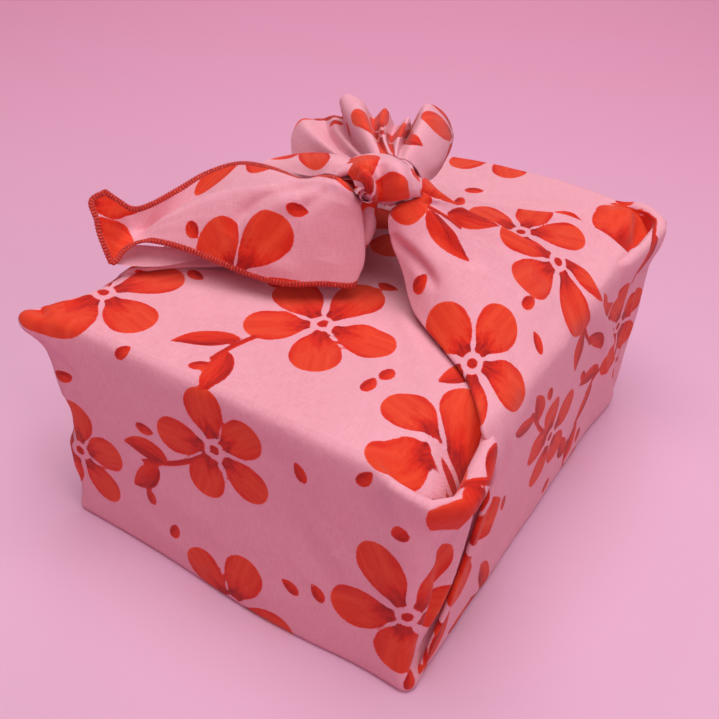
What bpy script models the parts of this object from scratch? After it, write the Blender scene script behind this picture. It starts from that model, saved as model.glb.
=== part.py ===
"""Furoshiki wrap: a square of printed cotton wrapped round a box-shaped gift, its left and
right corners raised over the short sides and tied in one square knot on top. The bundle is
one filled form with soft edges and tucked corners; the straps, the knot and the two loose
tails are the same cloth standing free, as sheets of real thickness. Tables are in
millimetres: X to the right, Y to the back, Z up, origin at the centre of the base."""

from collections import namedtuple

import bpy
import numpy as np

MM = 0.001

# ---- Driving sizes, mm ---------------------------------------------------------------------
WIDTH = 200.0  # bundle along X, between the two straps
DEPTH = 260.0  # bundle along Y
HEIGHT = 120.0  # bundle up to its flat top
TOP_CROWN = 0.8  # rise of the top from its edge to its middle
SHEET = 2.2  # a loose sheet with its turned hem
FAN_SHEET = 1.6  # the back tail, gathered in flutes
STRAP_SHEET = 3.0  # a strap is folded double along its edges
KNOT_AT = (8.0, -17.0, 171.0)  # middle of the knot
KNOT_HALF = (13.0, 10.0, 10.0)
LEFT_SHIFT = 12.0  # how far the mirrored left strap is drawn over towards the knot

SIDE_STEPS_X, SIDE_STEPS_Y, CORNER_STEPS = 10, 12, 5  # faces along the bundle's outline

# ---- The bundle: one row for each level of the side, then each ring of the top ------------
Level = namedtuple("Level", "height inset corner")
SIDE_LEVELS = (
    Level(0.0, 2.6, 5.0),
    Level(1.2, 0.7, 6.0),
    Level(5.0, 0.0, 7.0),
    Level(24.0, -0.3, 8.0),
    Level(48.0, -0.5, 9.5),
    Level(72.0, -0.6, 10.5),
    Level(92.0, -0.6, 11.0),
    Level(106.0, -0.3, 11.5),
    Level(114.0, 0.4, 11.5),
    Level(118.2, 2.0, 11.5),
    Level(120.0, 5.0, 11.5),
)
TOP_RINGS = (0.955, 0.915, 0.875, 0.83, 0.77, 0.68, 0.5, 0.27)  # share of the outline

# A push moves the skin round a point: a corner's ear, a dent or a slack place.
Push = namedtuple("Push", "name at by reach")
PUSHES = (
    Push("front left ear", (-99, -129, 115), (-15, -9, 5), 12),
    Push("front left slack", (-101, -128, 94), (-4, -2, 0), 20),
    Push("back right ear", (100, 128, 115), (6, 7, 3), 15),
    Push("back left ear", (-100, 129, 114), (-6, 6, 2), 13),
    Push("front right pocket", (88, -113, 121), (0, 2, -15), 12),
    Push("back right pocket", (97, 103, 121), (-1, 0, -12), 9),
    Push("front face slack", (20, -131, 70), (0, 1.6, 0), 60),
    Push("back face slack", (-20, 131, 60), (0, -2, 0), 55),
    Push("slack over the back edge", (58, 128, 119), (0, 3, 7.5), 45),
    Push("slack behind the knot", (0, 129, 119), (0, 2, 5), 40),
    Push("back right bulge", (98, 128, 75), (2.2, 2.6, 0), 32),
    Push("foot of the front", (25, -130, 8), (0, -5.5, 0), 55),
    Push("front right foot", (98, -128, 5), (2.5, -2.5, 0), 16),
)

# A fold runs along the skin through its points; a negative rise is a trough.
Fold = namedtuple("Fold", "name path rise width")
BODY_FOLDS = (
    Fold("front edge crease", ((-90, -129, 119), (20, -129, 119), (80, -129, 119)), 1.0, 5),
    Fold("pleat beside the strap", ((100, -118, 108), (100, -113, 60), (99, -124, 14)), -4.0, 6),
    Fold("left pleat", ((-100, -116, 104), (-100, -112, 58), (-99, -124, 14)), -4.0, 6),
    Fold("flap across the top", ((-60, 60, 120), (20, 84, 120), (66, 103, 120)), 1.6, 9),
)

# ---- Rolled rims at the corners: swept round rolls -----------------------------------------
RollPoint = namedtuple("RollPoint", "at radius")
FRONT_LIP = (
    RollPoint((80, -125, 114.5), 3.2),
    RollPoint((90, -126, 116.5), 4.2),
    RollPoint((98, -125, 117.5), 4.6),
    RollPoint((102, -117, 117.0), 4.6),
    RollPoint((102, -107, 117.5), 4.4),
    RollPoint((98, -98, 119.0), 4.2),
    RollPoint((93, -88, 119.0), 3.6),
)
BACK_RIM = (
    RollPoint((99, 80, 117.5), 3.6),
    RollPoint((101.5, 94, 118.5), 4.2),
    RollPoint((103.5, 108, 119.5), 4.6),
    RollPoint((104.5, 120, 120.5), 5.0),
    RollPoint((101, 129.5, 121.0), 5.0),
    RollPoint((91, 132.5, 121.5), 4.4),
)
BACK_RIDGE = (
    RollPoint((56, 93, 120.0), 2.8),
    RollPoint((67, 103, 122.5), 3.6),
    RollPoint((76, 116, 124.0), 4.0),
    RollPoint((83, 123, 124.0), 4.0),
    RollPoint((89, 117, 123.5), 4.0),
    RollPoint((91, 103, 122.0), 3.8),
    RollPoint((95, 88, 119.5), 3.2),
)

# ---- Straps: one row for each level from the base to the knot ------------------------------
# fold: the turned edge towards the front; near, far: across the middle; edge: towards the back.
StrapRow = namedtuple("StrapRow", "place fold near far edge")
MAIN_PANEL = (
    StrapRow("inside the base", (94, -112, 3), (95, -40, 3), (95, 40, 3), (94, 112, 3)),
    StrapRow("foot", (100.8, -123, 5), (101, -44, 4), (101, 44, 4), (100.6, 117, 5)),
    StrapRow("low", (102, -109, 27), (101, -42, 28), (101, 38, 28), (101, 104, 27)),
    StrapRow("middle", (103, -91, 56), (101.2, -38, 58), (101, 28, 58), (101.4, 88, 56)),
    StrapRow("high", (103, -78, 86), (101.2, -38, 88), (101.2, 14, 88), (101.6, 68, 85)),
    StrapRow("under the top", (103, -81, 106), (101.4, -44, 110), (101, -4, 111), (101.2, 44, 108)),
    StrapRow("over the top", (98, -84, 119), (99, -48, 119.5), (99, -10, 119.5), (99, 38, 120)),
    StrapRow("on the top", (91, -76, 122), (91, -42, 124), (90, -6, 126), (89, 42, 127)),
    StrapRow("rising", (77, -60, 122.5), (78, -34, 131), (78, -2, 134), (77, 38, 132)),
    StrapRow("narrowing", (59, -48, 124), (61, -28, 139), (61, -6, 143), (61, 29, 140)),
    StrapRow("steep", (37, -35, 127), (41, -27, 147), (43, -10, 154), (45, 20, 149)),
    StrapRow("gathered", (24, -26, 140.5), (29, -24, 153), (32, -14.5, 162), (34, 7, 159)),
    StrapRow("under the knot", (16.5, -25, 153.5), (21, -24, 161.5),
            (24, -16, 166.5), (27.5, -3, 165)),
    StrapRow("rounded end", (14, -23.5, 161.5), (16.5, -22, 167),
            (19.5, -17, 168.5), (22.5, -9, 168)),
    StrapRow("in the knot", (10.5, -14.5, 161), (12.5, -13, 163),
            (15.5, -9.5, 164), (18.5, -4.5, 164.5)),
)
UNDER_PANEL = (
    StrapRow("inside the base", (94, 70, 3), (95, 88, 3), (95, 104, 3), (94, 118, 3)),
    StrapRow("foot", (99.6, 70, 5), (100.2, 90, 5), (100.2, 108, 5), (99.6, 121, 5)),
    StrapRow("middle", (99.6, 60, 54), (100.4, 84, 54), (100.6, 104, 55), (100, 120, 55)),
    StrapRow("high", (99.6, 40, 90), (100.4, 64, 91), (100.6, 88, 93), (100.4, 110, 96)),
    StrapRow("over the top", (97, 24, 118), (98, 44, 118.6), (98, 64, 118.6), (97, 84, 118.6)),
    StrapRow("on the top", (84, 26, 124), (84, 46, 124), (84, 67, 123), (83, 87, 122)),
    StrapRow("rising", (64, 20, 133), (64, 41, 133), (63, 62, 131), (61, 81, 129)),
    StrapRow("narrowing", (48, 12, 144), (48, 28, 143), (47, 45, 141), (45, 62, 137)),
    StrapRow("steep", (34, 2, 154), (34, 14, 153), (33, 27, 151), (31, 40, 147)),
    StrapRow("gathered", (22, -6, 163), (22, 2, 162), (22, 10, 160), (21, 18, 157)),
    StrapRow("in the knot", (9, -14, 170), (9, -10, 170), (9, -7, 169), (9, -3, 168)),
)

# ---- Knot wrap: the band drawn over the top, one row for each place from back to front -----
WrapRow = namedtuple("WrapRow", "place left roll valley lobe right")
KNOT_WRAP = (
    WrapRow("behind", (-18, -15.5, 176.5), (-11.5, -11.5, 180.5), (-6, -5, 181),
            (1, -2.5, 181), (5.5, 3.5, 176.5)),
    WrapRow("rising", (-10, -25, 178.5), (-2.5, -24, 185), (2.5, -17, 185),
            (10.5, -14.5, 186), (14, -5.5, 179.5)),
    WrapRow("top", (-4.5, -27.5, 177), (2.5, -28.5, 184.5), (5, -20.5, 182.5),
            (16, -21.5, 186), (19.5, -8.5, 177)),
    WrapRow("front", (-1, -30, 175), (6.5, -32, 182), (7.5, -23, 178),
            (19, -24.5, 182.5), (22.5, -10.5, 174)),
    WrapRow("low", (1.5, -30, 172), (9, -32.5, 177.5), (8.5, -24, 173),
            (19.5, -25.5, 177.5), (23, -11, 170.5)),
    WrapRow("turned in", (3, -26.5, 167), (8.5, -29, 170.5), (7.5, -22, 167.5),
            (17, -23.5, 171.5), (19.5, -9, 168)),
    WrapRow("inside", (0.5, -19, 163.5), (3, -19.5, 165), (4, -16, 165),
            (10, -14, 166.5), (14.5, -7, 165.5)),
)

# ---- Left tail: one row for each place from the knot to the cloth's corner -----------------
# hem: front hem; fall: hanging front; shoulder, ridge: the fold along it; trough; back hem.
TailRow = namedtuple("TailRow", "place hem fall shoulder ridge trough back")
LEFT_TAIL = (
    TailRow("root", (0.5, -22, 146), (1.5, -19.5, 154.5), (3.5, -18.5, 162.5),
            (5.5, -17.5, 167.5), (4, -16.5, 171), (-0.5, -15, 174)),
    TailRow("in the knot", (-4, -29.5, 134.5), (-1.5, -24.5, 145.5), (-1.5, -23, 157.5),
            (-1.5, -23.5, 165), (-5, -23.5, 171), (-10.5, -22.5, 174)),
    TailRow("folded edge", (5.5, -37, 129.5), (6.5, -32, 140), (3.5, -30, 156),
            (0.5, -30, 166), (-5.5, -31, 174), (-12.5, -29, 176)),
    TailRow("by the knot", (-6.5, -46.5, 130), (-5, -42, 142.5), (-7, -38.5, 159.5),
            (-10.5, -36.5, 170.5), (-16.5, -34, 175.5), (-23, -27.5, 172.5)),
    TailRow("rounding", (-20.5, -56, 129.5), (-20, -51.5, 143), (-21.5, -47, 159),
            (-23.5, -43, 170), (-27.5, -36.5, 173), (-30, -28.5, 169)),
    TailRow("wide", (-37, -62, 131.5), (-36, -58.5, 143.5), (-36.5, -52, 158),
            (-38.5, -45.5, 168.5), (-46.5, -36.5, 167), (-50, -25.5, 168)),
    TailRow("widest", (-53.5, -65, 134), (-54, -61, 144), (-56, -55.5, 155),
            (-59, -48, 162.5), (-68, -38.5, 157.5), (-71, -23.5, 163.5)),
    TailRow("turning", (-68, -68, 136.5), (-69, -64.5, 143), (-71, -61, 150),
            (-74, -55.5, 155), (-84, -46.5, 145), (-85, -31, 157)),
    TailRow("scoop", (-80.5, -73, 138.5), (-81, -71, 141.5), (-82.5, -69, 145),
            (-84.5, -65.5, 147), (-92.5, -59, 136.5), (-93, -44, 150.5)),
    TailRow("tucked hem", (-88, -77.5, 138.5), (-89.5, -76, 138), (-92, -74, 138),
            (-94.5, -71.5, 138), (-96.5, -67, 138), (-97, -60, 148)),
    TailRow("hooked", (-93, -83, 135), (-96, -81, 136), (-98.5, -78, 137.5),
            (-100, -75.5, 140.5), (-100, -73, 144.5), (-100, -68.5, 148.5)),
    TailRow("before the corner", (-94.5, -89, 130.5), (-97.5, -87.5, 134.5), (-100, -85, 139),
            (-101.5, -82.5, 145), (-102.5, -79, 151), (-103.5, -74, 154)),
    TailRow("corner", (-96, -91, 131), (-99.5, -90.5, 137.5), (-103.5, -89, 143.5),
            (-106.5, -87, 149), (-110.5, -85, 156), (-107, -78.5, 159.5)),
)

# ---- Back tail: a fan of flutes, one row for each ridge and valley from left to right ------
FluteRow = namedtuple("FluteRow", "kind root rise bend tip")
BACK_TAIL = (
    FluteRow("left edge", (-21.5, 1, 161), (-41.5, 7.5, 155.5),
            (-58.5, 13.5, 153), (-71, 20, 152.5)),
    FluteRow("left flute", (-20, -0.5, 165.5), (-41, 8, 162),
            (-61.5, 18, 160.5), (-76.5, 28, 158.5)),
    FluteRow("left flute", (-18, -2.5, 168.5), (-39, 8, 168),
            (-60, 21.5, 167), (-75.5, 34.5, 165.5)),
    FluteRow("shoulder", (-16.5, -2.5, 171), (-37, 11.5, 167),
            (-56.5, 27.5, 164.5), (-71.5, 44, 164)),
    FluteRow("valley", (-14.5, -3, 172.5), (-35, 14, 165.5), (-55, 33.5, 161), (-69, 50.5, 159.5)),
    FluteRow("second flute", (-12.5, -4, 174.5), (-29, 9.5, 172.5),
            (-48.5, 28, 170), (-63, 46.5, 168)),
    FluteRow("valley", (-10, -4.5, 176), (-26.5, 12, 171), (-45, 32.5, 167), (-58.5, 50, 166)),
    FluteRow("tall flute", (-8, -5.5, 178), (-23.5, 8, 177.5),
            (-40.5, 23.5, 180), (-54.5, 39.5, 180.5)),
    FluteRow("tall flute", (-6, -6, 180), (-19.5, 6, 182.5), (-37, 24, 185), (-51, 41.5, 184)),
    FluteRow("tall flute", (-3.5, -5, 181), (-15, 6, 183), (-30, 24, 184), (-43.5, 43.5, 181.5)),
    FluteRow("valley", (-2, -3, 180.5), (-14.5, 12.5, 176.5), (-30, 34, 172), (-42.5, 56, 169)),
    FluteRow("narrow flute", (0.5, -3.5, 182), (-9.5, 8.5, 182.5),
            (-20.5, 25, 182), (-29.5, 45, 181)),
    FluteRow("deep valley", (2, -3, 181.5), (-8.5, 13, 176.5), (-20, 35.5, 170.5), (-30, 58, 167)),
    FluteRow("cone roll", (4, -4, 182), (-1, 6, 183.5), (-6.5, 20, 183.5), (-12.5, 38.5, 182.5)),
    FluteRow("beside the cone", (5.5, -3, 181), (-2.5, 14, 177.5),
            (-11.5, 36, 172), (-19.5, 56.5, 171.5)),
    FluteRow("wide flap, crest", (8.5, -2.5, 181), (5, 10, 184.5),
            (-1.5, 30.5, 186.5), (-11.5, 53, 185.5)),
    FluteRow("wide flap", (11.5, -1, 179), (10.5, 15, 180), (4.5, 42, 179), (-9.5, 71.5, 175.5)),
    FluteRow("wide flap", (14, 1, 175), (13.5, 21, 171.5), (6, 50, 167), (-6.5, 80, 160)),
    FluteRow("right edge", (16, 3, 169.5), (12, 21.5, 163.5), (3.5, 47.5, 156), (-8, 77, 148)),
)

STRAP_GRID = (30, 10)  # faces along and across
UNDER_GRID = (20, 6)
WRAP_GRID = (12, 12)
TAIL_GRID = (24, 12)
FAN_GRID = (36, 6)
CORE_GRID = (12, 7)  # faces round and up the knot's core
ROLL_SIDES = 8
ROLL_STEPS = 2  # faces along a roll for each of its points
COTTON = (0.86, 0.42, 0.47, 1.0)


# ---- Curves and meshes ---------------------------------------------------------------------
def through(rows, count):
    """A smooth curve or surface strip through the rows, as count + 1 evenly spaced rows."""
    rows = np.asarray(rows, float)
    ends = np.concatenate([[2 * rows[0] - rows[1]], rows, [2 * rows[-1] - rows[-2]]])
    at = np.linspace(0, len(rows) - 1, count + 1)
    start = np.minimum(at.astype(int), len(rows) - 2)
    t = (at - start).reshape((-1,) + (1,) * (rows.ndim - 1))
    p0, p1, p2, p3 = (ends[start + k] for k in range(4))
    return 0.5 * (
        2 * p1 + (p2 - p0) * t + (2 * p0 - 5 * p1 + 4 * p2 - p3) * t**2
        + (3 * p1 - p0 - 3 * p2 + p3) * t**3
    )


def surface(table, grid):
    """Points of a smooth sheet through a table's guide points, rows along, columns across."""
    sections = np.array([row[1:] for row in table], float)
    along = through(sections, grid[0])
    return np.swapaxes(through(np.swapaxes(along, 0, 1), grid[1]), 0, 1)


def normals(points):
    """Unit normals of a grid of points."""
    along, across = np.gradient(points, axis=0), np.gradient(points, axis=1)
    found = np.cross(along, across)
    return found / np.maximum(np.linalg.norm(found, axis=2, keepdims=True), 1e-9)


def sheet_mesh(name, points, thickness):
    """A closed sheet of even thickness about a grid of points."""
    rows, columns = points.shape[:2]
    offset = normals(points) * thickness / 2
    corners = np.concatenate([(points + offset).reshape(-1, 3), (points - offset).reshape(-1, 3)])
    index = np.arange(rows * columns).reshape(rows, columns)
    under = index + rows * columns
    faces = []
    for i in range(rows - 1):
        for j in range(columns - 1):
            a, b, c, d = index[i, j], index[i + 1, j], index[i + 1, j + 1], index[i, j + 1]
            faces.append((a, b, c, d))
            faces.append((under[i, j], under[i, j + 1], under[i + 1, j + 1], under[i + 1, j]))
    rim = [*index[0, :], *index[1:, -1], *index[-1, -2::-1], *index[-2:0:-1, 0]]
    for a, b in zip(rim, rim[1:] + rim[:1]):
        faces.append((a, b, b + rows * columns, a + rows * columns))
    return solid(name, corners, faces)


def roll_mesh(name, table):
    """A round roll of cloth with its ends drawn to points inside the bundle."""
    steps = ROLL_STEPS * len(table)
    places = through([row.at for row in table], steps)
    radii = through([[row.radius] for row in table], steps)[:, 0]
    ahead = np.gradient(places, axis=0)
    ahead /= np.linalg.norm(ahead, axis=1, keepdims=True)
    side = np.cross(ahead, (0.0, 0.0, 1.0))
    side /= np.linalg.norm(side, axis=1, keepdims=True)
    up = np.cross(side, ahead)
    turns = np.arange(ROLL_SIDES) * 2 * np.pi / ROLL_SIDES
    ring = side[:, None] * np.cos(turns)[:, None] + up[:, None] * np.sin(turns)[:, None]
    skin = places[:, None] + ring * radii[:, None, None]
    tips = [places[0] - ahead[0] * radii[0], places[-1] + ahead[-1] * radii[-1]]
    corners = np.concatenate([skin.reshape(-1, 3), tips])
    first, last = len(corners) - 2, len(corners) - 1
    faces = []
    for j in range(ROLL_SIDES):
        k = (j + 1) % ROLL_SIDES
        for i in range(steps):
            a, b = i * ROLL_SIDES, (i + 1) * ROLL_SIDES
            faces.append((a + j, a + k, b + k, b + j))
        faces.append((first, k, j))
        faces.append((last, steps * ROLL_SIDES + j, steps * ROLL_SIDES + k))
    return solid(name, corners, faces)


def solid(name, corners, faces):
    """A mesh object in metres, its faces turned outwards."""
    mesh = bpy.data.meshes.new(name)
    mesh.from_pydata((np.asarray(corners) * MM).tolist(), [], [tuple(map(int, f)) for f in faces])
    made = bpy.data.objects.new(name, mesh)
    bpy.context.scene.collection.objects.link(made)
    mesh.calc_loop_triangles()
    triangles = np.array([t.vertices for t in mesh.loop_triangles])
    places = np.array([v.co for v in mesh.vertices])
    if np.linalg.det(places[triangles]).sum() < 0:
        mesh.flip_normals()
    mesh.shade_smooth()
    return made


# ---- The bundle ----------------------------------------------------------------------------
def outline(half_x, half_y, corner):
    """A rounded rectangle, counter-clockwise from its right-hand front corner."""
    ease_x = 0.5 - 0.5 * np.cos(np.linspace(0, np.pi, SIDE_STEPS_X + 1)[1:-1])
    ease_y = 0.5 - 0.5 * np.cos(np.linspace(0, np.pi, SIDE_STEPS_Y + 1)[1:-1])
    found = []
    for turn, ease, sign in ((-0.5, ease_y, (1, -1)), (0, ease_x, (1, 1)),
                             (0.5, ease_y, (-1, 1)), (1, ease_x, (-1, -1))):
        centre = np.array([sign[0] * (half_x - corner), sign[1] * (half_y - corner)])
        angles = np.pi * (turn + np.linspace(0, 0.5, CORNER_STEPS + 1))
        arc = centre + corner * np.stack([np.cos(angles), np.sin(angles)], axis=1)
        run = (half_y if ease is ease_y else half_x) - corner
        heading = np.array([-np.sin(angles[-1]), np.cos(angles[-1])])
        found += [arc, arc[-1] + heading * (2 * run * ease)[:, None]]
    return np.concatenate(found)


def distance_to_path(points, path):
    """Distance from each point to a polyline."""
    path = np.asarray(path, float)
    best = np.full(len(points), np.inf)
    for start, end in zip(path, path[1:]):
        run = end - start
        t = np.clip((points - start) @ run / (run @ run), 0, 1)
        best = np.minimum(best, np.linalg.norm(points - start - t[:, None] * run, axis=1))
    return best


def dress(skin, outward):
    """Moves the plain skin by the folds, along its normals, and then by the pushes."""
    shaped = skin.copy()
    for fold in BODY_FOLDS:
        near = np.exp(-((distance_to_path(skin, fold.path) / fold.width) ** 2))
        shaped += outward * (fold.rise * near)[:, None]
    for push in PUSHES:
        away = np.linalg.norm(skin - np.array(push.at), axis=1)
        shaped += np.exp(-((away / push.reach) ** 2))[:, None] * np.array(push.by, float)
    shaped[:, 2] = np.maximum(shaped[:, 2], 0)
    return shaped


def bundle():
    """The wrapped bundle: rings up the sides and in over the top, closed by a flat base."""
    rings = []
    for level in SIDE_LEVELS:
        flat = outline(WIDTH / 2 - level.inset, DEPTH / 2 - level.inset, level.corner)
        rings.append(np.column_stack([flat, np.full(len(flat), level.height)]))
    top = rings[-1]
    for share in TOP_RINGS:
        ring = top.copy()
        ring[:, :2] *= share
        ring[:, 2] = HEIGHT + TOP_CROWN * (1 - share)
        rings.append(ring)
    count = len(top)
    skin = np.concatenate(rings + [[[0, 0, HEIGHT + TOP_CROWN], [0, 0, 0]]])
    grid = np.array(rings)
    round_way = np.roll(grid, -1, axis=1) - np.roll(grid, 1, axis=1)
    outward = np.cross(round_way, np.gradient(grid, axis=0)).reshape(-1, 3)
    outward /= np.maximum(np.linalg.norm(outward, axis=1, keepdims=True), 1e-9)
    shaped = dress(skin, np.concatenate([outward, [[0, 0, 1], [0, 0, -1]]]))
    shaped[:count, 2] = 0
    faces = []
    for i in range(len(rings) - 1):
        for j in range(count):
            k = (j + 1) % count
            faces.append((i * count + j, i * count + k, (i + 1) * count + k, (i + 1) * count + j))
    last = (len(rings) - 1) * count
    for j in range(count):
        k = (j + 1) % count
        faces.append((last + j, last + k, len(skin) - 2))
        faces.append((k, j, len(skin) - 1))
    return solid("furoshiki_cloth", shaped, faces)


def knot_core():
    """The lump of gathered cloth in the middle of the knot."""
    turns, steps = CORE_GRID
    corners, faces = [], []
    for i in range(1, steps):
        tilt = np.pi * i / steps
        for j in range(turns):
            turn = 2 * np.pi * j / turns
            way = (np.sin(tilt) * np.cos(turn), np.sin(tilt) * np.sin(turn), -np.cos(tilt))
            corners.append([c + h * w for c, h, w in zip(KNOT_AT, KNOT_HALF, way)])
    corners += [[KNOT_AT[0], KNOT_AT[1], KNOT_AT[2] + s * KNOT_HALF[2]] for s in (-1, 1)]
    low, high = len(corners) - 2, len(corners) - 1
    for j in range(turns):
        k = (j + 1) % turns
        for i in range(steps - 2):
            faces.append((i * turns + j, i * turns + k, (i + 1) * turns + k, (i + 1) * turns + j))
        faces.append((low, k, j))
        faces.append((high, (steps - 2) * turns + j, (steps - 2) * turns + k))
    return solid("knot_core", corners, faces)


def mirrored(points):
    """The left-hand strap: the right-hand one turned over in X, meeting it at the knot."""
    flipped = points.copy()
    nearness = np.clip(1 - np.abs(points[..., 0]) / (WIDTH / 2), 0, 1)
    flipped[..., 0] = -points[..., 0] + LEFT_SHIFT * nearness
    return flipped


def join(base, parts):
    """Unites the parts with the base into one closed body."""
    for part in parts:
        union = base.modifiers.new("join " + part.name, "BOOLEAN")
        union.operation = "UNION"
        union.solver = "EXACT"
        union.object = part
        part.hide_render = True
        part.display_type = "WIRE"


def cotton():
    material = bpy.data.materials.new("pink_cotton")
    material.use_nodes = True
    shader = material.node_tree.nodes["Principled BSDF"]
    shader.inputs["Base Color"].default_value = COTTON
    shader.inputs["Roughness"].default_value = 0.85
    shader.inputs["Metallic"].default_value = 0.0
    return material


def main():
    for old in list(bpy.data.objects):
        bpy.data.objects.remove(old)
    cloth = bundle()
    main_panel = surface(MAIN_PANEL, STRAP_GRID)
    under_panel = surface(UNDER_PANEL, UNDER_GRID)
    join(cloth, [
        roll_mesh("front_lip", FRONT_LIP),
        roll_mesh("back_rim", BACK_RIM),
        roll_mesh("back_ridge", BACK_RIDGE),
        sheet_mesh("right_under", under_panel, SHEET),
        sheet_mesh("right_strap", main_panel, STRAP_SHEET),
        sheet_mesh("left_under", mirrored(under_panel), SHEET),
        sheet_mesh("left_strap", mirrored(main_panel), STRAP_SHEET),
        knot_core(),
        sheet_mesh("knot_wrap", surface(KNOT_WRAP, WRAP_GRID), STRAP_SHEET),
        sheet_mesh("left_tail", surface(LEFT_TAIL, TAIL_GRID), SHEET),
        sheet_mesh("back_tail", surface(BACK_TAIL, FAN_GRID), FAN_SHEET),
    ])
    cloth.data.materials.append(cotton())


main()
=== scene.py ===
"""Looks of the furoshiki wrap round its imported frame: the cloth of the bundle, its straps, the
knot and the two tails as thin sheets on the solid's folds, printed with blossoms. Tables are
in millimetres; X to the right, Y to the back, Z up."""

from collections import namedtuple

import bpy
import numpy as np
from mathutils import Matrix, Vector


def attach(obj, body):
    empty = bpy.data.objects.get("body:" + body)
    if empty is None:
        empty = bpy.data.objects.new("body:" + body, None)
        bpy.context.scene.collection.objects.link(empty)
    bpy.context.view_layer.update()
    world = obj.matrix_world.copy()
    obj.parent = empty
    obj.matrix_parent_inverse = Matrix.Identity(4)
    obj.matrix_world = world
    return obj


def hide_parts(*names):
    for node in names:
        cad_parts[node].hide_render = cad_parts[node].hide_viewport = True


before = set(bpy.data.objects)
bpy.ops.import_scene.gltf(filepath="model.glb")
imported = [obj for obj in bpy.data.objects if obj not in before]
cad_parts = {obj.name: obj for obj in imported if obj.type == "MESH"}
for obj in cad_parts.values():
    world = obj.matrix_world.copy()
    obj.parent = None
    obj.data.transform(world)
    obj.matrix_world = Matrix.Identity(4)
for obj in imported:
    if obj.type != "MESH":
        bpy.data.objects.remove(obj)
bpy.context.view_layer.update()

MM = 0.001
WIDTH, DEPTH, HEIGHT = 200.0, 260.0, 120.0
TOP_CROWN = 0.8  # how far the middle of the top stands above its rim
LEFT_SHIFT = 12.0  # how far the mirrored straps move over to reach the knot
KNOT_AT, KNOT_HALF = np.array([8.0, -17.0, 171.0]), np.array([13.0, 10.0, 10.0])
OUTLINE_STEPS_X, OUTLINE_STEPS_Y, CORNER_STEPS = 96, 124, 14
CORNER_EASE = 0.35  # how far the outline's steps are drawn together towards its corners
SIDE_ROWS, TOP_ROWS = 66, 70
RIM_ROWS, RIM_REACH = 16, 15.0  # closer rows where the side turns into the top
CLOSE_RINGS = ((22, 0.0055), (20, 0.0115))  # the top's outer rings: how many, and each one's step in
TOP_REACH = 0.97  # share of the outline that the top's rings take up; one face closes the rest
BASE_SHARES = (0.80, 0.88, 0.95)  # rings of the margin turned in under the base
SIDES_END = len(BASE_SHARES) + SIDE_ROWS  # the first ring of the top
BASE_CLEAR, FOOT_CLEAR, STRAP_CLEAR = 0.35, 0.1, 0.4  # heights of the cloth above the floor

# ---- The bundle's sides: one row for each level ----
Level = namedtuple("Level", "height inset corner")
SIDE_LEVELS = (
    Level(0.0, 2.6, 5.0),
    Level(1.2, 0.7, 6.0),
    Level(5.0, 0.0, 7.0),
    Level(24.0, -0.3, 8.0),
    Level(48.0, -0.5, 9.5),
    Level(72.0, -0.6, 10.5),
    Level(92.0, -0.6, 11.0),
    Level(106.0, -0.3, 11.5),
    Level(114.0, 0.4, 11.5),
    Level(118.2, 2.0, 11.5),
    Level(120.0, 5.0, 11.5),
)
# A push moves the skin round a point: a corner's ear, a dent or a slack place.
Push = namedtuple("Push", "name at by reach")
PUSHES = (
    Push("front left ear", (-99, -129, 115), (-15, -9, 5), 12),
    Push("front left slack", (-101, -128, 94), (-4, -2, 0), 20),
    Push("back right ear", (100, 128, 115), (6, 7, 3), 15),
    Push("back left ear", (-100, 129, 114), (-6, 6, 2), 13),
    Push("front face slack", (20, -131, 70), (0, 1.6, 0), 60),
    Push("back face slack", (-20, 131, 60), (0, -2, 0), 55),
    Push("slack over the back edge", (58, 128, 119), (0, 3, 7.5), 45),
    Push("slack behind the knot", (0, 129, 119), (0, 2, 5), 40),
    Push("back right bulge", (98, 128, 75), (2.2, 2.6, 0), 32),
    Push("foot of the front", (25, -130, 8), (0, -5.5, 0), 55),
    Push("front right foot", (98, -128, 5), (2.5, -2.5, 0), 16),
)

# A fold runs along the skin through its points; a negative rise is a trough.
Fold = namedtuple("Fold", "name path rise width")
BODY_FOLDS = (
    Fold("pleat beside the strap", ((100, -118, 108), (100, -113, 60), (99, -124, 14)), -4.0, 6),
    Fold("left pleat", ((-100, -116, 104), (-100, -112, 58), (-99, -124, 14)), -4.0, 6),
    Fold("flap across the top", ((-60, 60, 120), (20, 84, 120), (66, 103, 120)), 1.6, 9),
)

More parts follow.
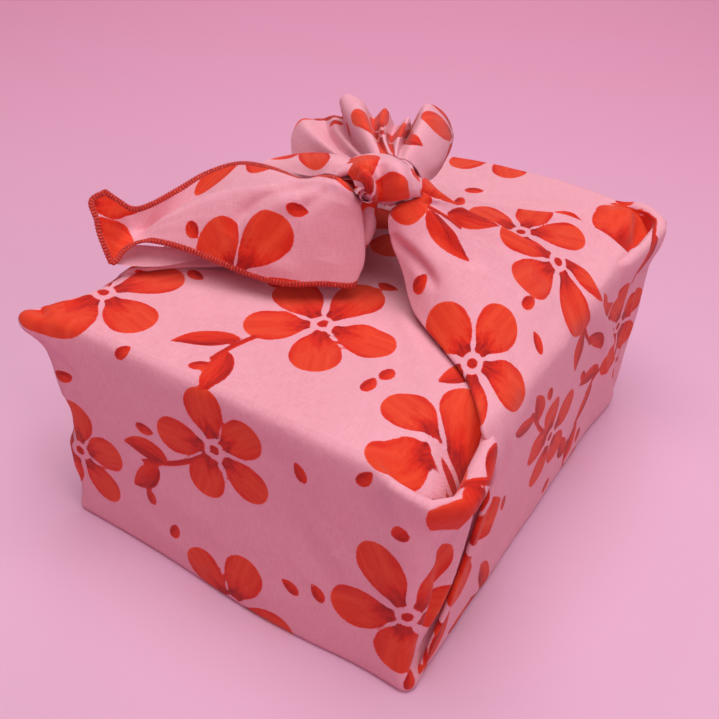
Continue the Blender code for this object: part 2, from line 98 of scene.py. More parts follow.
# ---- Straps: one row for each level from the base to the knot ----
# fold: the turned edge towards the front; near, far: across the middle; edge: towards the back.
StrapRow = namedtuple("StrapRow", "place fold near far edge")
MAIN_PANEL = (
    StrapRow("inside the base", (94, -112, 3), (95, -40, 3), (95, 40, 3), (94, 112, 3)),
    StrapRow("foot", (100.8, -123, 5), (101, -44, 4), (101, 44, 4), (100.6, 117, 5)),
    StrapRow("low", (102, -109, 27), (101, -42, 28), (101, 38, 28), (101, 104, 27)),
    StrapRow("middle", (103, -91, 56), (101.2, -38, 58), (101, 28, 58), (101.4, 88, 56)),
    StrapRow("high", (103, -78, 86), (101.2, -38, 88), (101.2, 14, 88), (101.6, 68, 85)),
    StrapRow("under the top", (103, -81, 106), (101.4, -44, 110), (101, -4, 111), (101.2, 44, 108)),
    StrapRow("over the top", (98, -84, 119), (99, -48, 119.5), (99, -10, 119.5), (99, 38, 120)),
    StrapRow("on the top", (91, -76, 122), (91, -42, 124), (90, -6, 126), (89, 42, 127)),
    StrapRow("rising", (77, -60, 122.5), (78, -34, 131), (78, -2, 134), (77, 38, 132)),
    StrapRow("narrowing", (59, -48, 124), (61, -28, 139), (61, -6, 143), (61, 29, 140)),
    StrapRow("steep", (37, -35, 127), (41, -27, 147), (43, -10, 154), (45, 20, 149)),
    StrapRow("gathered", (24, -26, 140.5), (29, -24, 153), (32, -14.5, 162), (34, 7, 159)),
    StrapRow("under the knot", (16.5, -25, 153.5), (21, -24, 161.5), (24, -16, 166.5), (27.5, -3, 165)),
    StrapRow("rounded end", (14, -23.5, 161.5), (16.5, -22, 167), (19.5, -17, 168.5), (22.5, -9, 168)),
    StrapRow("in the knot", (10.5, -14.5, 161), (12.5, -13, 163), (15.5, -9.5, 164), (18.5, -4.5, 164.5)),
)
UNDER_PANEL = (
    StrapRow("inside the base", (94, 70, 3), (95, 88, 3), (95, 104, 3), (94, 118, 3)),
    StrapRow("foot", (99.6, 70, 5), (100.2, 90, 5), (100.2, 108, 5), (99.6, 121, 5)),
    StrapRow("middle", (99.6, 60, 54), (100.4, 84, 54), (100.6, 104, 55), (100, 120, 55)),
    StrapRow("high", (99.6, 40, 90), (100.4, 64, 91), (100.6, 88, 93), (100.4, 110, 96)),
    StrapRow("over the top", (97, 24, 118), (98, 44, 118.6), (98, 64, 118.6), (97, 84, 118.6)),
    StrapRow("on the top", (84, 26, 124), (84, 46, 124), (84, 67, 123), (83, 87, 122)),
    StrapRow("rising", (64, 20, 133), (64, 41, 133), (63, 62, 131), (61, 81, 129)),
    StrapRow("narrowing", (48, 12, 144), (48, 28, 143), (47, 45, 141), (45, 62, 137)),
    StrapRow("steep", (34, 2, 154), (34, 14, 153), (33, 27, 151), (31, 40, 147)),
    StrapRow("gathered", (22, -6, 163), (22, 2, 162), (22, 10, 160), (21, 18, 157)),
    StrapRow("in the knot", (9, -14, 170), (9, -10, 170), (9, -7, 169), (9, -3, 168)),
)

# ---- Knot wrap: the band drawn over the top, one row for each place from back to front ----
WrapRow = namedtuple("WrapRow", "place left roll valley lobe right")
KNOT_WRAP = (
    WrapRow("behind", (-18, -15.5, 176.5), (-11.5, -11.5, 180.5), (-6, -5, 181), (1, -2.5, 181),
        (5.5, 3.5, 176.5)),
    WrapRow("rising", (-10, -25, 178.5), (-2.5, -24, 185), (2.5, -17, 185), (10.5, -14.5, 186),
        (14, -5.5, 179.5)),
    WrapRow("top", (-4.5, -27.5, 177), (2.5, -28.5, 184.5), (5, -20.5, 182.5), (16, -21.5, 186),
        (19.5, -8.5, 177)),
    WrapRow("front", (-1, -30, 175), (6.5, -32, 182), (7.5, -23, 178), (19, -24.5, 182.5),
        (22.5, -10.5, 174)),
    WrapRow("low", (1.5, -30, 172), (9, -32.5, 177.5), (8.5, -24, 173), (19.5, -25.5, 177.5),
        (23, -11, 170.5)),
    WrapRow("turned in", (3, -26.5, 167), (8.5, -29, 170.5), (7.5, -22, 167.5), (17, -23.5, 171.5),
        (19.5, -9, 168)),
    WrapRow("inside", (0.5, -19, 163.5), (3, -19.5, 165), (4, -16, 165), (10, -14, 166.5),
        (14.5, -7, 165.5)),
)

# ---- Left tail: one row for each place from the knot to the cloth's corner ----
# hem: front hem; fall: hanging front; shoulder, ridge: the fold along it; trough; back hem.
TailRow = namedtuple("TailRow", "place hem fall shoulder ridge trough back")
LEFT_TAIL = (
    TailRow("root", (0.5, -22, 146), (1.5, -19.5, 154.5), (3.5, -18.5, 162.5), (5.5, -17.5, 167.5),
        (4, -16.5, 171), (-0.5, -15, 174)),
    TailRow("in the knot", (-4, -29.5, 134.5), (-1.5, -24.5, 145.5), (-1.5, -23, 157.5),
        (-1.5, -23.5, 165), (-5, -23.5, 171), (-10.5, -22.5, 174)),
    TailRow("folded edge", (5.5, -37, 129.5), (6.5, -32, 140), (3.5, -30, 156), (0.5, -30, 166),
        (-5.5, -31, 174), (-12.5, -29, 176)),
    TailRow("by the knot", (-6.5, -46.5, 130), (-5, -42, 142.5), (-7, -38.5, 159.5),
        (-10.5, -36.5, 170.5), (-16.5, -34, 175.5), (-23, -27.5, 172.5)),
    TailRow("rounding", (-20.5, -56, 129.5), (-20, -51.5, 143), (-21.5, -47, 159), (-23.5, -43, 170),
        (-27.5, -36.5, 173), (-30, -28.5, 169)),
    TailRow("wide", (-37, -62, 131.5), (-36, -58.5, 143.5), (-36.5, -52, 158), (-38.5, -45.5, 168.5),
        (-46.5, -36.5, 167), (-50, -25.5, 168)),
    TailRow("widest", (-53.5, -65, 134), (-54, -61, 144), (-56, -55.5, 155), (-59, -48, 162.5),
        (-68, -38.5, 157.5), (-71, -23.5, 163.5)),
    TailRow("turning", (-68, -68, 136.5), (-69, -64.5, 143), (-71, -61, 150), (-74, -55.5, 155),
        (-84, -46.5, 145), (-85, -31, 157)),
    TailRow("scoop", (-80.5, -73, 138.5), (-81, -71, 141.5), (-82.5, -69, 145), (-84.5, -65.5, 147),
        (-92.5, -59, 136.5), (-93, -44, 150.5)),
    TailRow("tucked hem", (-88, -77.5, 138.5), (-89.5, -76, 138), (-92, -74, 138), (-94.5, -71.5, 138),
        (-96.5, -67, 138), (-97, -60, 148)),
    TailRow("hooked", (-93, -83, 135), (-96, -81, 136), (-98.5, -78, 137.5), (-100, -75.5, 140.5),
        (-100, -73, 144.5), (-100, -68.5, 148.5)),
    TailRow("before the corner", (-94.5, -89, 130.5), (-97.5, -87.5, 134.5), (-100, -85, 139),
        (-101.5, -82.5, 145), (-102.5, -79, 151), (-103.5, -74, 154)),
    TailRow("corner", (-96, -91, 131), (-99.5, -90.5, 137.5), (-103.5, -89, 143.5), (-106.5, -87, 149),
        (-110.5, -85, 156), (-107, -78.5, 159.5)),
)

# ---- Back tail: a fan of flutes, one row for each ridge and valley from left to right ----
FluteRow = namedtuple("FluteRow", "kind root rise bend tip")
BACK_TAIL = (
    FluteRow("left edge", (-21.5, 1, 161), (-41.5, 7.5, 155.5), (-58.5, 13.5, 153), (-71, 20, 152.5)),
    FluteRow("left flute", (-20, -0.5, 165.5), (-41, 8, 162), (-61.5, 18, 160.5), (-76.5, 28, 158.5)),
    FluteRow("left flute", (-18, -2.5, 168.5), (-39, 8, 168), (-60, 21.5, 167), (-75.5, 34.5, 165.5)),
    FluteRow("shoulder", (-16.5, -2.5, 171), (-37, 11.5, 167), (-56.5, 27.5, 164.5), (-72, 43.5, 164)),
    FluteRow("valley", (-14.5, -3, 172.5), (-34.5, 12.5, 166.5), (-53.5, 30.5, 163), (-69, 48.5, 164)),
    FluteRow("second flute", (-12.5, -4, 174.5), (-29, 9.5, 172.5), (-48, 27.5, 169.5),
        (-61.5, 46.5, 167.5)),
    FluteRow("valley", (-10, -4.5, 176), (-26.5, 12, 171), (-44, 31, 168), (-58.5, 51, 167)),
    FluteRow("tall flute", (-8, -5.5, 178), (-23.5, 8, 177.5), (-40.5, 23.5, 180), (-54.5, 39.5, 180.5)),
    FluteRow("tall flute", (-6, -6, 180), (-19.5, 6, 182.5), (-37, 24, 185), (-51, 41.5, 184)),
    FluteRow("tall flute", (-3.5, -5, 181), (-15, 6, 183), (-30, 24, 184), (-43.5, 43.5, 181.5)),
    FluteRow("valley", (-2, -3, 180.5), (-14.5, 12.5, 176.5), (-30, 34, 172), (-42.5, 56, 169)),
    FluteRow("narrow flute", (0.5, -3.5, 182), (-9.5, 8.5, 182.5), (-20.5, 25, 182), (-29.5, 45, 181)),
    FluteRow("deep valley", (2, -3, 181.5), (-8.5, 13, 176.5), (-20, 35.5, 170.5), (-30, 58, 167)),
    FluteRow("cone roll", (4, -4, 182), (-1, 6, 183.5), (-6.5, 20, 183.5), (-12.5, 38.5, 182.5)),
    FluteRow("beside the cone", (5.5, -3, 181), (-2.5, 14, 177.5), (-11.5, 36, 172), (-19.5, 56.5, 171.5)),
    FluteRow("wide flap, crest", (8.5, -2.5, 181), (5, 10, 184.5), (-1.5, 30.5, 186.5), (-11.5, 53, 185.5)),
    FluteRow("wide flap", (11.5, -1, 179), (10.5, 15, 180), (4.5, 42, 179), (-9.5, 71.5, 175.5)),
    FluteRow("wide flap", (14, 1, 175), (13.5, 21, 171.5), (6, 50, 167), (-6.5, 80, 160)),
    FluteRow("right edge", (16, 3, 169.5), (12, 21.5, 163.5), (3.5, 47.5, 156), (-8, 77, 148)),
)


# ---- The print ----
# Blossom: reach and breadth of its petals; heading, bend and length of its stem; length of its leaves
Blossom = namedtuple("Blossom", "reach wide heading bend long leaf")
BLOSSOMS = (
    Blossom(24.0, 11.0, -84, 26, 50, 28),
    Blossom(21.0, 10.0, -98, -32, 46, 25),
    Blossom(26.0, 11.8, -70, 38, 52, 30),
)
PETALS, HEART, EYE = 5, 5.6, 2.6  # the bare heart's radius and the dot's in it
PETAL_ROOT, PETAL_ROOT_WIDE = 8, 3.4  # how far out a petal starts, and its half width there
STEM_WIDE, LEAF_SWELL, LEAF_TIP = 1.5, 5.4, 0.5  # half widths
LEAVES = ((7, -48), (9, 44))  # step of the stem that a leaf grows from, and its lean there
DROPS = (((-38, 22), 60), ((36, 30), 140), ((-34, -30), 20))  # small brush dabs: place and heading
DROP_BEND, DROP_LONG, DROP_SWELL, DROP_TIP = 20, 9, 2.4, 0.8
PITCH_U, PITCH_V, WANDER = 92.0, 96.0, 6  # the layout's steps, and how far a blossom strays in it
BLOSSOM_REACH = 84  # no part of a blossom is farther than this from its middle
TURN_STEP = 137.5  # degrees from each blossom to the next
PETAL_STEPS, LEAF_STEPS = 8, 12
FAR_OUTSIDE, BARE_INK = -1e3, -99.0


def rotate(points, degrees):
    c, s = np.cos(np.radians(degrees)), np.sin(np.radians(degrees))
    return points @ np.array([[c, s], [-s, c]])


def smooth_step(value, low, high):
    t = np.clip((value - low) / (high - low), 0, 1)
    return t * t * (3 - 2 * t)


def petal_stroke(angle, reach, wide):
    s = np.linspace(0, 1, PETAL_STEPS)
    line = (PETAL_ROOT + (reach - PETAL_ROOT) * s)[:, None] * np.array([np.cos(angle), np.sin(angle)])
    return line, PETAL_ROOT_WIDE + (wide - PETAL_ROOT_WIDE) * smooth_step(s, -0.1, 1.0), s


def leaf_stroke(start, heading, bend, length, swell, tip):
    """A bent stroke: a leaf where it swells, a stem where it doesn't."""
    s = np.linspace(0, 1, LEAF_STEPS)
    angle = np.radians(heading + bend * s)
    step = np.stack([np.cos(angle), np.sin(angle)], axis=1) * length / (LEAF_STEPS - 1)
    line = np.asarray(start, float) + np.cumsum(step, axis=0)
    return line, tip + swell * np.sin(np.pi * s**0.8), s


def near(places, stroke):
    """Distance inside the stroke's edge, share along it and place across it, for each place."""
    line, half, s = stroke
    inside = np.full(len(places), FAR_OUTSIDE)
    along = np.zeros(len(places))
    across = np.zeros(len(places))
    for k in range(len(line) - 1):
        run = line[k + 1] - line[k]
        size = run @ run
        rel = places - line[k]
        t = np.clip(rel @ run / size, 0, 1)
        off = rel - t[:, None] * run
        here = half[k] + t * (half[k + 1] - half[k])
        depth = here - np.hypot(off[:, 0], off[:, 1])
        better = depth > inside
        inside[better] = depth[better]
        along[better] = (s[k] + t * (s[k + 1] - s[k]))[better]
        side = (run[0] * rel[:, 1] - run[1] * rel[:, 0]) / np.sqrt(size)
        across[better] = (side / here)[better]
    return inside, along, np.clip(across, -1.2, 1.2)


def leaf_shade(along, across):
    """A leaf's tone: darker on one side of its middle, with a light patch on the other."""
    patch = np.exp(-((along - 0.5) / 0.2) ** 2) * smooth_step(-across, 0, 0.6)
    return 0.48 - 0.32 * smooth_step(across, -0.1, 0.7) + 0.22 * patch


def petal_shade(along, across):
    """A petal's tone: lighter towards its tip, darker along its edges."""
    return 0.22 + 0.62 * smooth_step(along, 0.1, 0.9) - 0.4 * smooth_step(np.abs(across), 0.55, 1.0)


def blossom_paint(places, blossom, seed):
    """ink (mm inside a stroke's edge), tone 0..1 and brush place of each place round a blossom."""
    ink = np.full(len(places), FAR_OUTSIDE)
    tone = np.full(len(places), 0.5)
    brush = np.zeros((len(places), 3))
    bare = np.hypot(*places.T) - HEART
    first = 10 * seed  # brush marks of one blossom are numbered from here

    def put(stroke, shade, mark, cut=None):
        inside, along, across = near(places, stroke)
        if cut is not None:
            inside = np.minimum(inside, cut)
        top = inside > ink
        ink[top] = inside[top]
        tone[top] = shade(along, across)[top]
        brush[top] = np.stack([along * 40, across * 4, np.full(len(along), mark)], axis=1)[top]

    stem = leaf_stroke((0, 0), blossom.heading, blossom.bend, blossom.long, 0.0, STEM_WIDE)
    put(stem, lambda along, across: 0.3 + 0.2 * across, first, bare)
    for count, (step, lean) in enumerate(LEAVES):
        heading = blossom.heading + blossom.bend * step / LEAF_STEPS + lean
        leaf = leaf_stroke(stem[0][step], heading, -lean * 0.7, blossom.leaf, LEAF_SWELL, LEAF_TIP)
        put(leaf, leaf_shade, first + 1 + count)
    for count, (at, heading) in enumerate(DROPS):
        drop = leaf_stroke(at, heading, DROP_BEND, DROP_LONG, DROP_SWELL, DROP_TIP)
        put(drop, leaf_shade, first + 3 + count)
    for petal in range(PETALS):
        angle = 2 * np.pi * petal / PETALS + 0.08 * np.sin(seed + 2.1 * petal)
        reach = blossom.reach * (1 + 0.07 * np.sin(1.3 * seed + 1.9 * petal))
        put(petal_stroke(angle, reach, blossom.wide), petal_shade, first + 6 + petal / 9, bare)
    eye = np.array([[-0.2, 0.0], [0.2, 0.0]]), np.full(2, EYE), np.array([0.0, 1.0])
    put(eye, lambda along, across: np.full(len(along), 0.25), first + 7)
    return ink, tone, brush


def paint(uv):
    """The print at each place of the flat cloth, in mm: columns of blossoms, every other one half
    a step up."""
    uv = np.asarray(uv, float)
    ink = np.full(len(uv), BARE_INK)
    tone = np.full(len(uv), 0.5)
    brush = np.zeros((len(uv), 3))
    low, high = uv.min(0) - BLOSSOM_REACH - WANDER, uv.max(0) + BLOSSOM_REACH + WANDER
    for i in range(int(np.floor(low[0] / PITCH_U)), int(np.ceil(high[0] / PITCH_U)) + 1):
        for j in range(int(np.floor(low[1] / PITCH_V)), int(np.ceil(high[1] / PITCH_V)) + 1):
            centre = np.array([i * PITCH_U, (j + 0.5 * (i % 2)) * PITCH_V])
            centre = centre + WANDER * np.array([np.cos(1.1 * i + 2.7 * j), np.sin(2.9 * i - 1.3 * j)])
            near_by = np.hypot(*(uv - centre).T) < BLOSSOM_REACH
            if not near_by.any():
                continue
            places = rotate(uv[near_by] - centre, -TURN_STEP * (3 * i + 5 * j))
            blossom = BLOSSOMS[(2 * i + j) % len(BLOSSOMS)]
            got = blossom_paint(places, blossom, seed=(i * 4 + j * 7) % 11)
            wins = got[0] > ink[near_by]
            where = np.flatnonzero(near_by)[wins]
            for kept, found in zip((ink, tone, brush), got):
                kept[where] = found[wins]
    return ink, tone, brush


# ---- Curves and grids ----
def lengths_along(path):
    """How far along a path each of its points is."""
    return np.concatenate([[0], np.cumsum(np.linalg.norm(np.diff(path, axis=0), axis=1))])


def lengths_across(points):
    """How far across a grid each of its places is, from its first column."""
    step = np.linalg.norm(np.diff(points, axis=1), axis=2)
    return np.concatenate([np.zeros((len(points), 1)), np.cumsum(step, axis=1)], axis=1)


def unit(v):
    return v / np.maximum(np.linalg.norm(v, axis=-1, keepdims=True), 1e-9)


def through(rows, count):
    """A smooth curve or surface strip through the rows, as count + 1 evenly spaced rows."""
    rows = np.asarray(rows, float)
    ends = np.concatenate([[2 * rows[0] - rows[1]], rows, [2 * rows[-1] - rows[-2]]])
    at = np.linspace(0, len(rows) - 1, count + 1)
    start = np.minimum(at.astype(int), len(rows) - 2)
    t = (at - start).reshape((-1,) + (1,) * (rows.ndim - 1))
    p0, p1, p2, p3 = (ends[start + k] for k in range(4))
    return 0.5 * (
        2 * p1 + (p2 - p0) * t + (2 * p0 - 5 * p1 + 4 * p2 - p3) * t**2
        + (3 * p1 - p0 - 3 * p2 + p3) * t**3
    )


def surface(table, grid):
    """Points of a smooth sheet through a table's guide points, rows along, columns across."""
    sections = np.array([row[1:] for row in table], float)
    along = through(sections, grid[0])
    return np.swapaxes(through(np.swapaxes(along, 0, 1), grid[1]), 0, 1)


def normals(points):
    along, across = np.gradient(points, axis=0), np.gradient(points, axis=1)
    return unit(np.cross(along, across))


def facing(points, toward):
    """The normals on the side of a sheet that looks, on the whole, along a direction."""
    found = normals(points)
    return found * np.sign(np.sum(found * toward))


def cloth_places(points, origin, turn):
    """Places on the flat cloth of a grid: along its middle column, and out from it in each row."""
    middle = points.shape[1] // 2
    along = lengths_along(points[:, middle])
    across = lengths_across(points)
    across -= across[:, middle:middle + 1]
    flat = np.stack([across, np.repeat(along[:, None], points.shape[1], axis=1)], axis=-1)
    return rotate(flat.reshape(-1, 2), turn).reshape(flat.shape) + origin


def path_offsets(points, path):
    """Distance to a polyline, and share of its length at the nearest place."""
    path = np.asarray(path, float)
    best = np.full(points.shape[:-1], np.inf)
    share = np.zeros(points.shape[:-1])
    size = np.linalg.norm(np.diff(path, axis=0), axis=1)
    before = np.concatenate([[0], np.cumsum(size)])
    for k, (start, end) in enumerate(zip(path, path[1:])):
        run = end - start
        t = np.clip((points - start) @ run / (run @ run), 0, 1)
        away = np.linalg.norm(points - start - t[..., None] * run, axis=-1)
        closer = away < best
        best = np.where(closer, away, best)
        share = np.where(closer, (before[k] + t * size[k]) / before[-1], share)
    return best, share


def creased(points, outward, creases):
    """Moves points along their outward way by soft ridges and troughs that fade at their ends."""
    moved = points.copy()
    for crease in creases:
        path = through(crease.path, 8 * (len(crease.path) - 1))
        away, share = path_offsets(points, path)
        fade = np.clip(np.minimum(share, 1 - share) / 0.25, 0, 1) ** 0.7
        moved += outward * (crease.rise * fade * np.exp(-((away / crease.width) ** 2)))[..., None]
    return moved


def ripple(places, seed, pitch):
    """Smooth unevenness, about -1 to 1, from waves in many directions."""
    rng = np.random.default_rng(seed)
    total = np.zeros(places.shape[:-1])
    for _ in range(9):
        way = unit(rng.normal(size=places.shape[-1])) * 2 * np.pi / (pitch * rng.uniform(0.6, 1.7))
        total += np.sin(places @ way + rng.uniform(0, 2 * np.pi))
    return total / 3.5


def turned_edge(points, outward, radius, reach, last=True, steps=7):
    """Adds a folded-under edge to a grid's last or first column: a half turn and a return."""
    if not last:
        points, outward = points[:, ::-1], outward[:, ::-1]
    edge, up = points[:, -1], unit(outward[:, -1])
    out = unit(edge - points[:, -3])
    up = unit(up - out * np.sum(up * out, axis=1, keepdims=True))
    width = np.linalg.norm(np.diff(points, axis=1), axis=2).sum(axis=1)
    reach = np.minimum(np.ravel(reach), 0.2 * width)[:, None]  # a narrow place has a narrow turning
    added = []
    for angle in np.linspace(0, np.pi, steps + 1)[1:]:
        added.append(edge + out * radius * np.sin(angle) - up * radius * (1 - np.cos(angle)))
    for share in (0.3, 0.65, 1.0):
        added.append(edge - out * reach * share - up * radius * (2 + 0.3 * share))
    grown = np.concatenate([points, np.stack(added, axis=1)], axis=1)
    return grown if last else grown[:, ::-1]


# ---- Meshes ----
def placed(name, mesh, material=None):
    """An object of the mesh in the scene."""
    made = bpy.data.objects.new(name, mesh)
    bpy.context.scene.collection.objects.link(made)
    if material:
        mesh.materials.append(material)
    return made


def cloth_object(name, points, faces, places, per_corner=False):
    """A mesh in metres with the print's values and the flat cloth's places on it."""
    mesh = bpy.data.meshes.new(name)
    mesh.from_pydata((np.asarray(points) * MM).tolist(), [], faces)
    mesh.shade_smooth()
    domain = "CORNER" if per_corner else "POINT"
    ink, tone, brush = paint(places)
    cloth = np.column_stack([places, np.zeros(len(places))])
    for label, kind, field, values in (
        ("ink", "FLOAT", "value", ink),
        ("tone", "FLOAT", "value", tone),
        ("brush", "FLOAT_VECTOR", "vector", brush),
        ("cloth", "FLOAT_VECTOR", "vector", cloth),
    ):
        slot = mesh.attributes.new(label, kind, domain)
        slot.data.foreach_set(field, values.ravel().astype(np.float32))
    return placed(name, mesh, COTTON)


def grid_faces(rows, columns):
    index = np.arange(rows * columns).reshape(rows, columns)
    quads = np.stack([index[:-1, :-1], index[1:, :-1], index[1:, 1:], index[:-1, 1:]], axis=-1)
    return quads.reshape(-1, 4).tolist()


def grid_object(name, points, places, thickness=0.0):
    made = cloth_object(name, points.reshape(-1, 3), grid_faces(*points.shape[:2]), places.reshape(-1, 2))
    if thickness:
        solidify = made.modifiers.new("thickness", "SOLIDIFY")
        solidify.thickness = thickness * MM
        solidify.offset = 0
    return made


HEM_HALF_WIDE, HEM_HALF_THICK, HEM_INSET = 1.5, 0.75, 0.6
HEM_SIDES, HEM_PITCH = 12, 1.5  # points round the hem, and from one rib to the next


def hem_object(name, path, wide):
    """A ribbed overlocked edge along a path; wide is the way across the cloth at each place."""
    length = lengths_along(path)
    count = int(length[-1] / (HEM_PITCH / 6))
    at = np.linspace(0, length[-1], count)
    line = np.stack([np.interp(at, length, path[:, k]) for k in range(3)], axis=1)
    side = unit(np.stack([np.interp(at, length, wide[:, k]) for k in range(3)], axis=1))
    ahead = unit(np.gradient(line, axis=0))
    side = unit(side - ahead * np.sum(side * ahead, axis=1, keepdims=True))
    up = np.cross(ahead, side)
    turns = np.linspace(0, 2 * np.pi, HEM_SIDES, endpoint=False)
    wave = np.sin(2 * np.pi * at / HEM_PITCH + 0.6 * np.sin(at / 4.3))
    rib = 1 + (0.13 * wave * (1 + 0.3 * np.sin(at / 7.1)))[:, None]
    ring = side[:, None] * (np.cos(turns) * HEM_HALF_WIDE)[:, None]
    ring = ring + up[:, None] * (np.sin(turns) * HEM_HALF_THICK)[:, None]
    points = line[:, None] + ring * rib[..., None]
    mesh = bpy.data.meshes.new(name)
    index = np.arange(count * HEM_SIDES).reshape(count, HEM_SIDES)
    after = np.roll(index, -1, axis=1)
    quads = np.stack([index[:-1], after[:-1], after[1:], index[1:]], axis=-1).reshape(-1, 4).tolist()
    quads += [index[0, ::-1].tolist(), index[-1].tolist()]
    mesh.from_pydata((points.reshape(-1, 3) * MM).tolist(), [], quads)
    mesh.shade_smooth()
    slot = mesh.attributes.new("rib", "FLOAT", "POINT")
    slot.data.foreach_set("value", np.repeat(wave, HEM_SIDES).astype(np.float32))
    return placed(name, mesh, THREAD)


# ---- Materials ----
class Nodes:
    """Short ways to add and link shader nodes."""

    def __init__(self, name):
        self.material = bpy.data.materials.new(name)
        self.material.use_nodes = True
        self.tree = self.material.node_tree
        self.shader = self.tree.nodes["Principled BSDF"]

    def fill(self, node, inputs):
        for key, value in inputs.items():
            if hasattr(value, "is_linked"):
                self.tree.links.new(value, node.inputs[key])
            else:
                node.inputs[key].default_value = value

    def add(self, kind, inputs=None, **settings):
        node = self.tree.nodes.new("ShaderNode" + kind)
        for key, value in settings.items():
            setattr(node, key, value)
        self.fill(node, inputs or {})
        return node

    def math(self, operation, a, b):
        return self.add("Math", {0: a, 1: b}, operation=operation).outputs[0]

    def noise(self, vector, scale, detail=2.0, rough=0.5):
        inputs = {"Vector": vector, "Scale": scale, "Detail": detail, "Roughness": rough}
        return self.add("TexNoise", inputs).outputs["Fac"]

    def scaled(self, vector, by):
        return self.add("VectorMath", {0: vector, 1: by}, operation="MULTIPLY").outputs[0]

    def attribute(self, name, output="Fac"):
        return self.add("Attribute", attribute_name=name).outputs[output]

    def span(self, value, low, high, to_low=0.0, to_high=1.0, smooth=False):
        inputs = {"Value": value, "From Min": low, "From Max": high, "To Min": to_low, "To Max": to_high}
        kind = "SMOOTHSTEP" if smooth else "LINEAR"
        return self.add("MapRange", inputs, interpolation_type=kind).outputs["Result"]

    def mix(self, share, a, b):
        return self.add("Mix", {0: share, 6: a, 7: b}, data_type="RGBA").outputs[2]

    def bump(self, height, strength, distance):
        inputs = {"Height": height, "Strength": strength, "Distance": distance}
        return self.add("Bump", inputs).outputs["Normal"]

    def finished(self, inputs):
        """The material, with its shader's inputs filled."""
        self.fill(self.shader, inputs)
        return self.material


PINK = (0.84, 0.375, 0.455, 1.0)
PINK_DEEP = (0.81, 0.325, 0.405, 1.0)
PINK_LIGHT = (0.92, 0.49, 0.57, 1.0)
RED_DARK = (0.34, 0.003, 0.004, 1.0)
RED = (0.72, 0.021, 0.006, 1.0)
RED_LIGHT = (0.84, 0.075, 0.024, 1.0)
# The thread's red, with a painted shade for the grooves between its ribs and a painted highlight for their
# tops; the worn red is the thread's own.
HEM_GROOVE_SHADE = (0.24, 0.004, 0.004, 1.0)
HEM_RED = (0.66, 0.028, 0.014, 1.0)
HEM_RIB_HIGHLIGHT = (0.90, 0.22, 0.16, 1.0)
HEM_WORN = (0.70, 0.05, 0.03, 1.0)
# The paper's pink, painted lighter near the camera and darker away from it as a falloff of light.
PAPER_NEAR_PAINTED_LIGHT = (0.76, 0.49, 0.66, 1.0)
PAPER_FAR_PAINTED_SHADE = (0.88, 0.40, 0.60, 1.0)


def printed_cotton():
    """Pink plain weave, with brushed reds where the mesh's ink is above nothing."""
    n = Nodes("printed_cotton")
    cloth = n.attribute("cloth", "Vector")
    around = n.add("TexCoord").outputs["Object"]
    warp = n.noise(n.scaled(cloth, (2.6, 0.16, 1)), 1.0, 3)
    weft = n.noise(n.scaled(cloth, (0.16, 2.6, 1)), 1.0, 3)
    slub = n.math("ADD", warp, weft)
    wobble = n.math("MULTIPLY", n.math("SUBTRACT", n.noise(cloth, 0.9), 0.5), 0.55)
    grain = n.math("MULTIPLY", n.math("SUBTRACT", slub, 1.0), 0.5)
    edge = n.math("ADD", n.math("ADD", n.attribute("ink"), wobble), grain)
    covered = n.span(edge, -0.22, 0.22, smooth=True)
    streak = n.noise(n.scaled(n.attribute("brush", "Vector"), (0.07, 0.9, 1)), 1.0, 3, 0.6)
    tone = n.math("ADD", n.attribute("tone"), n.span(streak, 0.3, 0.7, -0.22, 0.22))
    tone = n.math("ADD", tone, n.span(edge, 0.1, 0.9, 0.18, 0.0))
    low = n.mix(n.span(tone, 0.0, 0.5), RED_DARK, RED)
    red = n.mix(n.span(tone, 0.5, 1.05), low, RED_LIGHT)
    broad = n.noise(around, 14.0, 2)
    pink = n.mix(n.span(broad, 0.3, 0.7), PINK, PINK_DEEP)
    pink = n.mix(n.span(slub, 0.75, 1.25, 0.0, 0.75), pink, PINK_LIGHT)
    bands = {"Vector": cloth, "Scale": 0.62, "Distortion": 0.6, "Detail": 1.0}
    across, along = (n.add("TexWave", bands, bands_direction=way).outputs["Fac"] for way in "XY")
    weave = n.math("ADD", n.math("MULTIPLY", n.math("ADD", across, along), 0.35), slub)
    crumple = n.noise(around, 120.0, 3)
    height = n.math("ADD", weave, n.math("MULTIPLY", crumple, 1.6))
    return n.finished({
        "Base Color": n.mix(covered, pink, red),
        "Normal": n.bump(height, 0.8, 0.00016),
        "Roughness": n.span(slub, 0.7, 1.3, 0.74, 0.88),
        "Sheen Weight": 0.18,
        "Sheen Roughness": 0.45,
        "Sheen Tint": (1.0, 0.86, 0.88, 1.0),
        "Specular IOR Level": 0.25,
    })


def hem_thread():
    """Red overlocking thread, with a painted highlight on top of its ribs and painted shade in the grooves
    between them.
    """
    n = Nodes("hem_thread")
    around = n.add("TexCoord").outputs["Object"]
    speck = n.noise(around, 900.0, 2)
    broad = n.noise(around, 60.0, 2)
    rib = n.math("ADD", n.attribute("rib"), n.span(speck, 0.3, 0.7, -0.7, 0.7))
    # painted shade in the grooves between the ribs, painted highlight on their tops
    colour = n.mix(n.span(rib, -0.9, 0.9), HEM_GROOVE_SHADE, HEM_RED)
    colour = n.mix(n.span(rib, 0.9, 1.6, 0.0, 0.8), colour, HEM_RIB_HIGHLIGHT)
    colour = n.mix(n.span(broad, 0.35, 0.65, 0.0, 0.3), colour, HEM_WORN)
    normal = n.bump(speck, 0.5, 0.0002)
    return n.finished({"Base Color": colour, "Normal": normal, "Roughness": 0.7, "Sheen Weight": 0.15})


